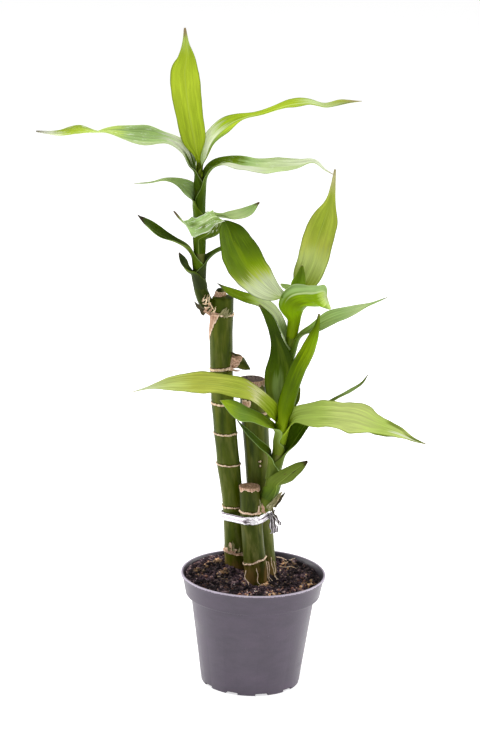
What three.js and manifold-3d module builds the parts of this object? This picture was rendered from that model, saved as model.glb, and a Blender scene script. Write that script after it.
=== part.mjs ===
// Lucky bamboo: three canes with leafy shoots, tied together, in a nursery pot.
// Millimetres, +Z up. The origin is the middle of the pot's underside, and the front faces -Y.
import * as THREE from 'three';
import { mergeVertices } from 'three/addons/utils/BufferGeometryUtils.js';
import Module from 'manifold-3d';

const wasm = await Module();
wasm.setup();

// Pot
const POT_HEIGHT = 70.6;
const RIM_RADIUS = 45;
const RIM_ROUND = 0.5;
const LIP_HEIGHT = 2;
const BASE_RADIUS = 30.6;
const POT_WALL = 1.5;
const POT_SIDES = 40;
const COLLAR_HEIGHT = 13;
const COLLAR_BOTTOM_RADIUS = 41.9;
const BODY_TOP_RADIUS = 38.6;
const FLOOR_THICKNESS = 2.4;

// Drainage notches in the pot's foot
const NOTCH_COUNT = 10;
const NOTCH_WIDTH = 8;
const NOTCH_TURN = 284;
const NOTCH_HEIGHT = 1.6;
const NOTCH_DEPTH = 7;

// Air kept between two pieces
const GAP = 0.3;

// Soil
const SOIL_LEVEL = 66.8;
const SOIL_RINGS = 8;
const SOIL_SIDES = 32;
const SOIL_EDGE_BAND = 6;
const SOIL_EDGE_RISE = 2.6;
const BANK_SLOPE = 0.045;
const BANK_LOWEST = -0.8;
const MOUND = { x: -12, y: 11, height: 5, spread: 16 };

// Canes and shoots
const CANE_FOOT = 26;
const CANE_SIDES = 16;
const RING_WIDTH = 0.9;
const RING_STEPS = [-1.8, -0.5, 0.5, 1.8];
const SHOOT_SIDES = 10;
const SHOOT_STEP = 6;

// Leaves
const LEAF_THICKNESS = 0.65;
const RIB_THICKNESS = 0.25;
const LEAF_STEP = 6.5;
const SHEATH_STEP = 4.5;
const SHEATH_ANGLE = 76;
const BLADE_CUP = 24;
const WAVE_LENGTH = 24;
const WAVE_HEIGHT = 0.06;
const WIDE_LEAF = 5.5;
const NARROWEST_HALF = 0.5;

// Tie
const TIE_LEVEL = 107.9;
const TIE_WIDTH = 5;
const TIE_THICKNESS = 0.8;
const TIE_SIDES = 40;
const TIE_END_SIDES = 6;
const TIE_TILT = { front: 3.2, right: 4.2 };

// Canes: height, centre x, centre y and radius. Rings: height and how far each stands out.
const CANES = {
  tall: {
    line: [[CANE_FOOT, -10, 11, 6.4], [73, -11, 9.5, 6.9], [104, -13, 4.5, 6.5], [117, -14.2, 4, 6.5],
      [136, -16.8, 3.5, 7.1], [158, -19.5, 3, 7], [180, -22, 3, 7], [201, -23.3, 3, 6.9],
      [225, -24.1, 3, 7.2], [245, -23.6, 3, 6.6]],
    rings: [[81, 0.9], [112.8, 0.6], [138, 0.8], [157.5, 0.6], [179, 0.5], [201.5, 0.7], [236, 0.7]],
  },
  middle: {
    line: [[CANE_FOOT, 9, 12, 7], [66, 7.6, 10.5, 7.3], [104, 3.2, 8.8, 7.5], [122, 2.2, 8.6, 7.7],
      [148, 0, 9, 8], [173, -2.5, 9, 8.3], [193, -4.5, 9, 7.9]],
    rings: [[92, 0.6], [172.5, 0.8]],
  },
  short: {
    line: [[CANE_FOOT, 3, -2, 6.6], [66, 2, -3.6, 6.9], [84, 0.2, -5, 6.8], [104, -2, -6.2, 6.8],
      [124, -3.4, -7, 6.5], [129, -4, -7, 6.4]],
    rings: [[76, 0.8], [113, 0.8], [126.5, 0.35]],
  },
};

// Shoots: a line of x, y, z and radius for the stem of each, from inside its cane to its growing tip
const SHOOTS = {
  tall: [[-25, 3, 238, 3.6], [-32, 3, 240, 4.3], [-36.5, 3, 248, 4.1], [-38.2, 3, 258, 3.7],
    [-38.4, 3, 272, 3.3], [-39, 3, 290, 3], [-39.3, 3, 306, 2.8], [-39.6, 3, 318, 2.2],
    [-39.8, 3, 325, 1.3], [-40.4, 3, 328.4, 1]],
  middle: [[-1, 9, 166, 3.4], [5.5, 9, 171, 3.8], [11, 9.5, 183, 3.5], [15.8, 8.5, 198, 3.2],
    [18, 7, 212, 3], [19.5, 6, 225, 2.7], [21, 5, 238, 2], [22, 5, 245, 1.3],
    [22.3, 5, 248.6, 1]],
  short: [[0, -7, 113.8, 3.4], [5, -7, 116.3, 4.6], [8.2, -7, 122, 4.9], [10.8, -8, 139, 4],
    [13.2, -8, 153, 3.1], [14.4, -8, 163, 2.3], [14.8, -8, 171, 1.2],
    [15, -7.8, 173.4, 1]],
};

// Small growths of the tall cane: a dead stub that stands out on the right, and the dried end of the cane,
// left of its cut shoulder. Rows are x, y, z and radius.
const STUB = [[-21, 3, 205, 5], [-15.5, 3, 205.2, 5.4], [-11, 3, 204, 4.4], [-8, 3, 202.2, 2.4],
  [-6, 3, 200.6, 0.6]];
const DRIED_END = [[-25.4, 3, 243, 3.7], [-25.4, 3, 249, 3.7], [-25.4, 3, 251, 2.2]];

// Leaves. side is the compass angle of the leaf round its stem, with 0 to the right and 270 to the front.
// sheath holds the heights between which the leaf clasps its stem, and base is the start of a leaf that
// stands on the growing tip. Each blade point is x, y, z, half width, roll of the blade about its midrib
// in degrees, and, where given, the half angle of its channel.
const LEAVES = {
  tall: [
    {
      side: 200, sheath: [251, 259],
      blade: [[-46, 1, 262, 4, 0, 40], [-49, 1, 267, 3.5, 0], [-51, 1, 273, 0.6, 0]],
    },
    {
      side: 20, sheath: [257, 266],
      blade: [[-31, 4, 271, 3, 0, 45], [-24, 6, 275, 4, 0], [-15, 9, 276, 4, 0], [-8, 11, 274, 0.6, 0]],
    },
    {
      side: 188, sheath: [263, 269],
      blade: [[-46, 2, 275, 3.6, 0, 50], [-53, 0, 280, 4.5, -15, 50], [-62, -3, 284.5, 6, -30, 50],
        [-70, -6, 291, 5, -20, 40], [-76, -9, 298, 0.6, 0]],
    },
    {
      side: 262, sheath: [273, 281],
      blade: [[-35, -4.4, 286, 7, 0, 46], [-32.6, -8, 293, 7, -15, 40], [-32.4, -12, 297, 6, -30],
        [-35, -17, 297, 5.8, -50], [-40, -21, 295, 6.6, -62], [-45, -24, 294.5, 6.2, -72],
        [-50, -26, 300, 2.4, -40], [-54, -27, 305, 0.6, -20]],
    },
    {
      side: 60, sheath: [279, 288],
      blade: [[-33, 9, 293, 4, 0, 50], [-21, 14, 293, 5, 10], [-11, 18, 295, 4.5, 10],
        [-3, 22, 301, 0.6, 0]],
    },
    {
      side: 180, sheath: [291, 301],
      blade: [[-43.5, 3, 307, 5.4, -10, 55], [-47, 2, 312, 6, -35, 35], [-52, 2, 315.6, 5, -25],
        [-59, 3, 317, 3.5, -5], [-70, 4, 315, 2.6, 10], [-79, 5, 314, 0.6, 0]],
    },
    {
      side: 350, sheath: [296, 312],
      blade: [[-35, 1, 323, 4.4, 0, 60], [-31, -1, 329, 4.4, 0, 50], [-24, -4, 331, 5.2, 5, 40],
        [-14, -8, 330, 7.4, 22], [2, -13, 330, 7.6, 24], [19, -17, 332.5, 6.5, 18], [29, -19, 335, 4, 0],
        [35, -20, 331, 1.8, 0], [41, -21, 328, 0.6, 0]],
    },
    {
      side: 185, sheath: [312, 321],
      blade: [[-46, 2, 327, 4.5, 0, 60], [-50, 0, 336, 5.5, -10, 45], [-57, -2, 342, 6.8, -20],
        [-70, -5, 344.5, 8, -32], [-86, -8, 346.5, 7.2, -28], [-96, -10, 348, 5, 0],
        [-103, -11, 348, 4, 20], [-112, -12, 349, 3.8, 55], [-124, -13, 347, 2.2, 60],
        [-137, -14, 348, 0.6, 60]],
    },
    {
      side: 8, sheath: [321.6, 324.8],
      blade: [[-36.2, 4, 332, 4.2, 0, 50], [-33.4, 5, 340.6, 6, 20, 40], [-26, 7, 349, 7.5, 25],
        [-16, 9, 354.6, 6.8, 10], [-1, 12, 358, 6, -5], [14, 15, 363, 6, 15], [25, 17, 364, 5, 10],
        [35, 19, 362, 4, 10], [45, 21, 364, 3.4, 15], [57, 23, 365, 0.6, 0]],
    },
    {
      side: 90, base: [[-40.5, 4.8, 327.2, 1.3, 0, 50], [-41.4, 3.6, 334, 3.2, 0, 50]],
      blade: [[-43, 3, 343, 6.2, 0], [-46, 3, 357, 8, 0], [-49, 4, 373, 9, 0], [-50, 5, 383, 8.6, 0],
        [-49.2, 6, 391, 4.6, 0], [-49.8, 7, 399, 2, 0], [-50.6, 8, 409, 0.6, 0]],
    },
  ],
  middle: [
    {
      side: 350, sheath: [203, 214],
      blade: [[24.4, 6, 220.5, 4.2, 0, 50], [31, 5, 226, 5.4, 20], [39, 3, 231.4, 6.6, 28],
        [49, 0, 236.7, 7, 28], [59, -3, 241.5, 5, 15], [67, -5, 246, 3, 0], [76, -7, 251, 0.6, 0]],
    },
    {
      side: 175, sheath: [207, 216],
      blade: [[12, 5, 226, 3.8, 0, 55], [7, 4, 237, 3.6, -10, 45], [-1, 1, 243.6, 4, -20],
        [-13, -4, 248, 5, -30], [-21, -7, 252, 4, -20], [-27, -9, 257, 0.6, 0]],
    },
    {
      side: 270, sheath: [221, 231],
      blade: [[18.8, -2.4, 239, 7.2, 0, 60], [21.4, -9, 245.7, 8.6, -20, 60],
        [27.4, -17, 250, 9, -35, 60], [33, -26, 252.4, 8.6, -40, 60], [37, -33, 256, 7.4, -40, 50],
        [38, -37, 258.6, 4, -35]],
    },
    {
      side: 205, sheath: [234, 239],
      blade: [[13, 2.8, 245.6, 5.2, -10, 50], [7.6, 1, 249.5, 7, -35, 35], [0, -4, 256.4, 9.6, -60],
        [-10.6, -9, 268.6, 13, -76], [-17.6, -13, 281.8, 12, -78], [-21, -14, 291, 8.4, -78],
        [-24, -11.6, 297, 3.4, -78]],
    },
    {
      side: 110, sheath: [241, 243.4],
      blade: [[18, 10.5, 249, 3, 0, 45], [13, 14, 251.5, 3, 0], [9, 16, 254, 0.6, 0]],
    },
    {
      side: 90, sheath: [246.4, 248.2],
      blade: [[24, 6.6, 252, 4.5, 0, 45], [26, 7, 257, 7.2, 0], [30, 8, 268, 9.3, 0],
        [33, 9, 282, 9.5, 0], [37, 10, 295, 8, 0], [40, 11, 306, 3, 0], [41, 11, 314, 1.7, 0],
        [42, 12, 325, 0.6, 0]],
    },
    {
      side: 280, sheath: [243.5, 246],
      blade: [[22.6, 2, 256, 3, 0, 40], [24, 2.6, 266, 0.6, 0]],
    },
  ],
  short: [
    {
      side: 300, sheath: [121.6, 130],
      blade: [[13.6, -15, 135.5, 6, -15, 50], [18, -17, 139.2, 5.6, -45, 35], [23.4, -19, 144, 4.4, -60],
        [30.8, -20, 150, 0.6, -60]],
    },
    {
      side: 190, sheath: [134, 144],
      blade: [[6.4, -11, 150, 4.4, -10, 50], [-0.4, -14, 158.5, 3.8, -25, 40],
        [-6.6, -16, 165.4, 3, -25, 40], [-12.8, -18, 174, 0.6, -20]],
    },
    {
      side: 10, sheath: [139, 149],
      blade: [[21.3, -6, 157.5, 5, 10, 55], [28, -4, 167.6, 5.6, 20, 40], [37.4, -2, 176.6, 4.4, 5],
        [47.4, 0, 184, 4, -8], [57, 2, 189, 4.4, -8], [63.5, 3, 194, 2.6, -8], [66.6, 4, 199, 0.6, 0]],
    },
    {
      side: 200, sheath: [150.5, 158],
      blade: [[10.6, -11, 165.6, 4.6, -5, 55], [5, -15, 171.4, 5, -25], [-4, -19, 177, 5.4, -35],
        [-12.4, -23, 180.4, 7, -42], [-18.6, -26, 184.8, 5.4, -35], [-23.4, -28, 189, 0.6, -20]],
    },
    {
      side: 355, sheath: [157, 164],
      blade: [[22.4, -10, 174, 5.2, 20, 55], [31, -13, 176.8, 8.4, 34], [43.6, -17, 178.2, 9.4, 44],
        [57, -21, 178, 10.6, 44], [71.4, -25, 174.6, 8.4, 36], [84.7, -29, 172, 4.8, 26],
        [95, -32, 168.4, 2.4, 10], [102, -34, 167, 0.6, 0]],
    },
    {
      side: 185, sheath: [164.5, 169],
      blade: [[10, -9.4, 176, 4.2, -10, 45], [3.4, -11, 183.4, 6, -25, 36], [-5.4, -13, 190, 7.4, -34],
        [-17, -16, 194.4, 7.8, -40], [-31, -19, 196.7, 7.8, -40], [-43, -22, 197.2, 7.2, -40],
        [-55, -25, 197, 5, -36], [-64.6, -27, 195.8, 2.2, -20], [-76, -29, 193.2, 0.6, 0]],
    },
    {
      side: 60, base: [[17, -6.5, 172.8, 1.1, 0, 40]],
      blade: [[19.4, -2, 177, 2.2, 0, 40], [23, 0, 183, 2.8, 0, 40], [25, 1, 190.5, 0.6, 0]],
    },
    {
      side: 90, base: [[14.5, -5.8, 173, 1, 0, 50]],
      blade: [[14.2, -2, 179, 4.8, 0, 30], [12.9, 0, 190, 8.4, 0], [13.1, 2, 203, 9.4, 0],
        [12.3, 2, 210.5, 7, 0], [10.8, 2, 217, 4.2, 0], [8.1, 0, 226, 3, 0], [3.5, -3, 236, 2.4, 0],
        [-2, -6.4, 244.5, 0.6, 0]],
    },
    {
      side: 280, base: [[15.4, -9.6, 172.6, 1.8, 0, 60]],
      blade: [[17, -11, 180, 5, 0, 50], [20, -12, 193, 6, 0, 45], [24, -12, 206, 6.5, 0, 45],
        [29, -11, 216, 6, 0, 45], [32, -10, 225, 4, 0, 40], [34, -9, 232, 2, 0], [35, -9, 240, 0.6, 0]],
    },
  ],
};

// Ends of the tie, twisted together on the right: rows of x, y, z and radius
const TIE_ENDS = [
  [[9.5, 0.4, 108.4, 1.2], [11.4, -0.6, 108, 1.5], [12.4, -1.4, 103, 1], [12.8, -2, 96.5, 0.9]],
  [[9.5, 0.4, 108.4, 1.2], [11.6, -0.8, 107, 1.3], [13.6, -1.6, 101.5, 1], [15, -2.6, 98, 0.8]],
  [[9.5, 0.4, 108.4, 1.2], [11.8, -1, 108, 1.3], [14, -1.2, 107, 1], [15.2, -1.6, 105, 0.8]],
  [[9.5, 0.4, 108.4, 1.2], [11.2, -1, 109.2, 1.2], [13, -0.6, 111.6, 0.8]],
];

const MATERIALS = {
  pot: new THREE.MeshStandardMaterial({ color: 0x8a8792, roughness: 0.45, metalness: 0 }),
  soil: new THREE.MeshStandardMaterial({ color: 0x2b1f1a, roughness: 0.95, metalness: 0 }),
  cane: new THREE.MeshStandardMaterial({ color: 0x48571f, roughness: 0.4, metalness: 0 }),
  leaf: new THREE.MeshStandardMaterial({ color: 0x6f9a1c, roughness: 0.4, metalness: 0 }),
  tie: new THREE.MeshStandardMaterial({ color: 0xc9c9d0, roughness: 0.25, metalness: 0.9 }),
};

const radians = THREE.MathUtils.degToRad;
const plant = new THREE.Group();

function addPiece(name, geometry, material) {
  const mesh = new THREE.Mesh(geometry, material);
  mesh.name = name;
  plant.add(mesh);
}

// Length along a line of rows up to each of its rows
function lengthsAlong(rows) {
  const reach = [0];
  for (let i = 1; i < rows.length; i += 1) {
    const [a, b] = [rows[i - 1], rows[i]];
    reach.push(reach[i - 1] + Math.hypot(b[0] - a[0], b[1] - a[1], b[2] - a[2]));
  }
  return reach;
}

// Smooth line through rows of numbers. The first three are a point, and the rest follow it. Up to the
// row `straight` the line holds its direction, so that a bend after it doesn't pull it in.
function smoothRows(rows, step, straight = 0) {
  const reach = lengthsAlong(rows);
  const last = rows.length - 1;
  const slopes = rows.map((row, i) => row.map((value, c) => {
    const before = i > 0 ? (value - rows[i - 1][c]) / (reach[i] - reach[i - 1]) : null;
    const after = i < last ? (rows[i + 1][c] - value) / (reach[i + 1] - reach[i]) : null;
    if (before === null) return after;
    if (after === null || i === straight) return before;
    const [near, far] = [reach[i] - reach[i - 1], reach[i + 1] - reach[i]];
    return (before * far + after * near) / (near + far);
  }));
  const out = [rows[0]];
  for (let i = 0; i < last; i += 1) {
    const span = reach[i + 1] - reach[i];
    const pieces = Math.max(1, Math.round(span / step));
    for (let k = 1; k <= pieces; k += 1) {
      const t = k / pieces;
      out.push(rows[i].map((value, c) => value * (2 * t ** 3 - 3 * t ** 2 + 1)
        + slopes[i][c] * span * (t ** 3 - 2 * t ** 2 + t)
        + rows[i + 1][c] * (3 * t ** 2 - 2 * t ** 3)
        + slopes[i + 1][c] * span * (t ** 3 - t ** 2)));
    }
  }
  return out;
}

// Direction of a line of points at one of them
function directionAt(points, i) {
  const ahead = points[Math.min(i + 1, points.length - 1)];
  const behind = points[Math.max(i - 1, 0)];
  return new THREE.Vector3().subVectors(ahead, behind).normalize();
}

// Closed skin over rings of points that all have the same even count. The two halves of each ring face
// each other, and their triangles are cut along the same diagonals.
function skin(rings) {
  const count = rings[0].length;
  const half = count / 2;
  const index = [];
  for (let i = 0; i + 1 < rings.length; i += 1) {
    for (let k = 0; k < count; k += 1) {
      const a = i * count + k;
      const b = i * count + ((k + 1) % count);
      const [c, d] = [a + count, b + count];
      if (k < half) index.push(a, b, d, a, d, c);
      else index.push(a, b, c, b, d, c);
    }
  }
  const top = (rings.length - 1) * count;
  for (let k = 0; k + 1 < half; k += 1) {
    const [a, b, c, d] = [k, k + 1, count - 2 - k, count - 1 - k];
    index.push(a, c, b, a, d, c);
    index.push(top + a, top + b, top + c, top + a, top + c, top + d);
  }
  const places = rings.flat().flatMap((point) => point.toArray());
  const geometry = new THREE.BufferGeometry();
  geometry.setAttribute('position', new THREE.Float32BufferAttribute(places, 3));
  geometry.setIndex(index);
  return geometry;
}

// Solid for cutting and joining, and back again
function toSolid(geometry) {
  const bare = geometry.clone();
  bare.deleteAttribute('normal');
  bare.deleteAttribute('uv');
  const merged = mergeVertices(bare, 1e-4);
  return new wasm.Manifold(new wasm.Mesh({
    numProp: 3,
    vertProperties: new Float32Array(merged.attributes.position.array),
    triVerts: new Uint32Array(merged.index.array),
  }));
}

function toGeometry(solid) {
  const mesh = solid.getMesh();
  const geometry = new THREE.BufferGeometry();
  geometry.setAttribute('position', new THREE.BufferAttribute(new Float32Array(mesh.vertProperties), 3));
  geometry.setIndex([...mesh.triVerts]);
  return geometry;
}

// Round rod along rows of x, y, z and radius, with its rings square to the line
function rod(rows, sides) {
  const points = rows.map((row) => new THREE.Vector3(row[0], row[1], row[2]));
  const rings = rows.map((row, i) => {
    const along = directionAt(points, i);
    const across = new THREE.Vector3(0, 1, 0).addScaledVector(along, -along.y).normalize();
    const third = new THREE.Vector3().crossVectors(along, across);
    return Array.from({ length: sides }, (_, k) => {
      const turn = (2 * Math.PI * k) / sides;
      return points[i].clone()
        .addScaledVector(across, row[3] * Math.cos(turn))
        .addScaledVector(third, row[3] * Math.sin(turn));
    });
  });
  return skin(rings);
}

// Row of a line at a height, where the line's column `key` rises steadily
function rowAt(rows, key, height) {
  const found = rows.findIndex((row) => row[key] >= height);
  const next = found < 0 ? rows.length - 1 : Math.max(1, found);
  const [a, b] = [rows[next - 1], rows[next]];
  const t = (height - a[key]) / (b[key] - a[key]);
  return a.map((value, c) => value + (b[c] - value) * t);
}

// Turned solid from a profile of radius and height, standing on Z
function turned(profile, sides) {
  const geometry = new THREE.LatheGeometry(profile.map(([r, z]) => new THREE.Vector2(r, z)), sides);
  return geometry.rotateX(Math.PI / 2);
}

// Cane: a turned rod with a raised ring at each node, bent along its line. With `clear` it is the plain
// hole that the cane stands in, wider by that much.
function caneGeometry(cane, clear) {
  const line = cane.line;
  const [foot, top] = [line[0][0], line[line.length - 1][0]];
  const heights = line.map((row) => row[0]);
  cane.rings.forEach(([z]) => RING_STEPS.forEach((step) => heights.push(z + step)));
  const levels = heights.filter((z) => z >= foot && z <= top).sort((a, b) => a - b)
    .filter((z, i, all) => i === 0 || z - all[i - 1] > 0.4);
  const radiusAt = (z) => cane.rings.reduce(
    (sum, [at, rise]) => sum + rise * Math.exp(-(((z - at) / RING_WIDTH) ** 2)),
    rowAt(line, 0, z)[3],
  );
  const profile = levels.map((z) => [clear ? rowAt(line, 0, z)[3] + clear : radiusAt(z), z]);
  const floor = foot - clear;
  profile[0][1] = floor;
  const geometry = turned([[0, floor], ...profile, [0, top]], CANE_SIDES);
  const position = geometry.attributes.position;
  for (let i = 0; i < position.count; i += 1) {
    const [, x, y] = rowAt(line, 0, Math.max(foot, position.getZ(i)));
    position.setXYZ(i, position.getX(i) + x, position.getY(i) + y, position.getZ(i));
  }
  return geometry;
}

// Rows of a leaf's sheath, which stands off its stem on one side: point, half width, roll and half angle
function sheathRows([low, high], outward, stem, strips) {
  const steps = Math.max(1, Math.round((high - low) / SHEATH_STEP));
  const wrap = radians(SHEATH_ANGLE);
  return Array.from({ length: steps + 1 }, (_, i) => {
    const height = low + ((high - low) * i) / steps;
    const [x, y, z, r] = rowAt(stem, 2, height);
    const ahead = rowAt(stem, 2, height + 1);
    const along = new THREE.Vector3(ahead[0] - x, ahead[1] - y, ahead[2] - z).normalize();
    const off = outward.clone().addScaledVector(along, -outward.dot(along)).normalize();
    const radius = (r + GAP) / Math.cos(wrap / strips) + (LEAF_THICKNESS + RIB_THICKNESS) / 2;
    const middle = new THREE.Vector3(x, y, z).addScaledVector(off, radius);
    return [...middle.toArray(), radius * wrap, 0, SHEATH_ANGLE];
  });
}

// Leaf: a thin blade that clasps its stem in a half pipe, then opens and bends away
function leafGeometry(leaf, stem, number) {
  const side = radians(leaf.side);
  const outward = new THREE.Vector3(Math.cos(side), Math.sin(side), 0);
  const sideways = new THREE.Vector3(-Math.sin(side), Math.cos(side), 0);
  const widest = Math.max(...leaf.blade.map((row) => row[3]));
  const strips = widest > WIDE_LEAF ? 6 : 4;
  const start = leaf.sheath ? sheathRows(leaf.sheath, outward, stem, strips) : leaf.base;
  const blade = leaf.blade.map(([x, y, z, half, roll, cup = BLADE_CUP]) => [x, y, z, half, roll, cup]);
  const rows = smoothRows([...start, ...blade], LEAF_STEP, start.length - 1);
  const points = rows.map((row) => new THREE.Vector3(row[0], row[1], row[2]));
  const reach = lengthsAlong(rows);
  const rings = rows.map(([, , , width, roll, angle], i) => {
    const along = directionAt(points, i);
    const across = sideways.clone().addScaledVector(along, -sideways.dot(along)).normalize();
    across.applyAxisAngle(along, radians(roll));
    const inward = new THREE.Vector3().crossVectors(along, across);
    const half = Math.max(width, NARROWEST_HALF);
    const cup = radians(angle);
    const radius = half / cup;
    const swell = WAVE_HEIGHT * half * Math.sin((Math.PI * reach[i]) / reach[reach.length - 1]) ** 2;
    const phase = (2 * Math.PI * reach[i]) / WAVE_LENGTH + number * 1.7;
    const [upper, lower] = [[], []];
    for (let k = 0; k <= strips; k += 1) {
      const s = (2 * k) / strips - 1;
      const turn = cup * s;
      const normal = inward.clone().multiplyScalar(Math.cos(turn)).addScaledVector(across, -Math.sin(turn));
      const ripple = swell * s * s * Math.sin(phase + (s > 0 ? 2.1 : 0));
      const middle = points[i].clone()
        .addScaledVector(across, radius * Math.sin(turn))
        .addScaledVector(inward, radius * (1 - Math.cos(turn)) + ripple);
      const thick = (LEAF_THICKNESS + RIB_THICKNESS * (1 - s * s)) / 2;
      lower.push(middle.clone().addScaledVector(normal, -thick));
      upper.unshift(middle.clone().addScaledVector(normal, thick));
    }
    return [...lower, ...upper];
  });
  return skin(rings);
}

// Inside of the pot's wall as radius and height, from the floor up
function innerWall() {
  const step = POT_HEIGHT - COLLAR_HEIGHT;
  return [
    [BASE_RADIUS - POT_WALL, FLOOR_THICKNESS],
    [BODY_TOP_RADIUS - POT_WALL, step - RIM_ROUND],
    [COLLAR_BOTTOM_RADIUS - POT_WALL, step + 2 * RIM_ROUND],
    [RIM_RADIUS - 1 - POT_WALL, POT_HEIGHT - LIP_HEIGHT],
    [RIM_RADIUS - POT_WALL, POT_HEIGHT - RIM_ROUND],
    [RIM_RADIUS - POT_WALL + RIM_ROUND, POT_HEIGHT],
  ];
}

// Pot: a turned shell with a stepped collar and a lip, its foot notched for drainage
function potGeometry() {
  const step = POT_HEIGHT - COLLAR_HEIGHT;
  const outer = [
    [0, 0],
    [BASE_RADIUS, 0],
    [BODY_TOP_RADIUS, step - 3 * RIM_ROUND],
    [COLLAR_BOTTOM_RADIUS, step],
    [RIM_RADIUS - 1, POT_HEIGHT - LIP_HEIGHT],
    [RIM_RADIUS, POT_HEIGHT - LIP_HEIGHT + RIM_ROUND],
    [RIM_RADIUS, POT_HEIGHT - RIM_ROUND],
    [RIM_RADIUS - RIM_ROUND, POT_HEIGHT],
  ];
  let solid = toSolid(turned([...outer, ...innerWall().reverse(), [0, FLOOR_THICKNESS]], POT_SIDES));
  for (let i = 0; i < NOTCH_COUNT; i += 1) {
    const turn = radians(NOTCH_TURN + (360 * i) / NOTCH_COUNT);
    const notch = new THREE.BoxGeometry(NOTCH_DEPTH, NOTCH_WIDTH, 2 * NOTCH_HEIGHT);
    notch.translate(BASE_RADIUS, 0, 0).rotateZ(turn);
    solid = solid.subtract(toSolid(notch));
  }
  return toGeometry(solid);
}

// How far the soil's surface stands over its level: banked up towards the back left and the tall cane,
// and uneven everywhere
function soilRise(x, y) {
  const bank = Math.max(BANK_LOWEST, BANK_SLOPE * (y - x));
  const away = Math.hypot(x - MOUND.x, y - MOUND.y) / MOUND.spread;
  const mound = MOUND.height * Math.exp(-(away ** 2));
  const broad = 0.6 * Math.sin(x * 0.31 + 1.3) * Math.cos(y * 0.27);
  const fine = 0.4 * Math.sin(x * 0.13 - y * 0.21) * Math.sin(y * 0.47);
  return bank + mound + broad + fine;
}

// Soil: fills the pot to just under its rim, with a plain hole for each cane
function soilGeometry() {
  const wall = innerWall();
  const edge = rowAt(wall, 1, SOIL_LEVEL)[0] - GAP;
  const side = [
    [0, wall[0][1] + GAP],
    [wall[0][0] - GAP, wall[0][1] + GAP],
    [wall[1][0] - GAP, wall[1][1]],
    [wall[2][0] - GAP, wall[2][1] + GAP],
    [edge, SOIL_LEVEL],
  ];
  const surface = Array.from({ length: SOIL_RINGS }, (_, i) => {
    const inside = (i + 1) / (SOIL_RINGS + 0.4);
    return [edge * (1 - inside), SOIL_LEVEL];
  });
  const geometry = turned([...side, ...surface, [0, SOIL_LEVEL]], SOIL_SIDES);
  const position = geometry.attributes.position;
  for (let i = 0; i < position.count; i += 1) {
    const [x, y, z] = [position.getX(i), position.getY(i), position.getZ(i)];
    if (z > SOIL_LEVEL - 0.1) {
      const rise = soilRise(x, y);
      const inside = Math.min(1, Math.max(0, (edge - Math.hypot(x, y)) / SOIL_EDGE_BAND));
      const held = rise > 0 ? Math.min(rise, SOIL_EDGE_RISE + 8 * inside) : rise * inside;
      position.setZ(i, SOIL_LEVEL + held);
    }
  }
  let solid = toSolid(geometry);
  Object.values(CANES).forEach((cane) => {
    solid = solid.subtract(toSolid(caneGeometry(cane, GAP)));
  });
  return toGeometry(solid);
}

// Outline round the canes at a height, as far out from their skins as asked
function roundCanes(height, clear) {
  const circles = Object.values(CANES).map((cane) => rowAt(cane.line, 0, height));
  return Array.from({ length: TIE_SIDES }, (_, k) => {
    const turn = (2 * Math.PI * k) / TIE_SIDES;
    const [dx, dy] = [Math.cos(turn), Math.sin(turn)];
    const reachOf = ([, x, y, r]) => x * dx + y * dy + r;
    const [, x, y, r] = circles.reduce((best, row) => (reachOf(row) > reachOf(best) ? row : best));
    return new THREE.Vector2(x + (r + clear) * dx, y + (r + clear) * dy);
  });
}

// Tie: the strip round all three canes, with its twisted ends
function tieGeometry() {
  const band = new THREE.Shape(roundCanes(TIE_LEVEL, 2 * GAP + TIE_THICKNESS));
  band.holes.push(new THREE.Path(roundCanes(TIE_LEVEL, 2 * GAP)));
  const strip = new THREE.ExtrudeGeometry(band, { depth: TIE_WIDTH, bevelEnabled: false });
  strip.translate(0, 0, -TIE_WIDTH / 2);
  strip.rotateY(radians(-TIE_TILT.right)).rotateX(radians(-TIE_TILT.front));
  strip.translate(0, 0, TIE_LEVEL);
  let solid = toSolid(strip);
  TIE_ENDS.forEach((rows) => {
    solid = solid.add(toSolid(rod(rows, TIE_END_SIDES)));
  });
  return toGeometry(solid);
}

addPiece('pot', potGeometry(), MATERIALS.pot);
addPiece('soil', soilGeometry(), MATERIALS.soil);

Object.entries(CANES).forEach(([name, cane]) => {
  let solid = toSolid(caneGeometry(cane, 0));
  solid = solid.add(toSolid(rod(smoothRows(SHOOTS[name], SHOOT_STEP), SHOOT_SIDES)));
  if (name === 'tall') {
    solid = solid.add(toSolid(rod(STUB, SHOOT_SIDES))).add(toSolid(rod(DRIED_END, SHOOT_SIDES)));
  }
  addPiece(`cane_${name}`, toGeometry(solid), MATERIALS.cane);
});

Object.entries(LEAVES).forEach(([name, leaves]) => {
  const stem = smoothRows(SHOOTS[name], SHOOT_STEP);
  leaves.forEach((leaf, i) => {
    addPiece(`leaf_${name}_${i + 1}`, leafGeometry(leaf, stem, i + 1), MATERIALS.leaf);
  });
});

addPiece('tie', tieGeometry(), MATERIALS.tie);

export default plant;
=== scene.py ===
"""Lucky bamboo in a nursery pot: fine leaves, canes, soil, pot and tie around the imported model."""
import math
import random

import bmesh
import bpy
from mathutils import Matrix, Vector, noise


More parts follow.
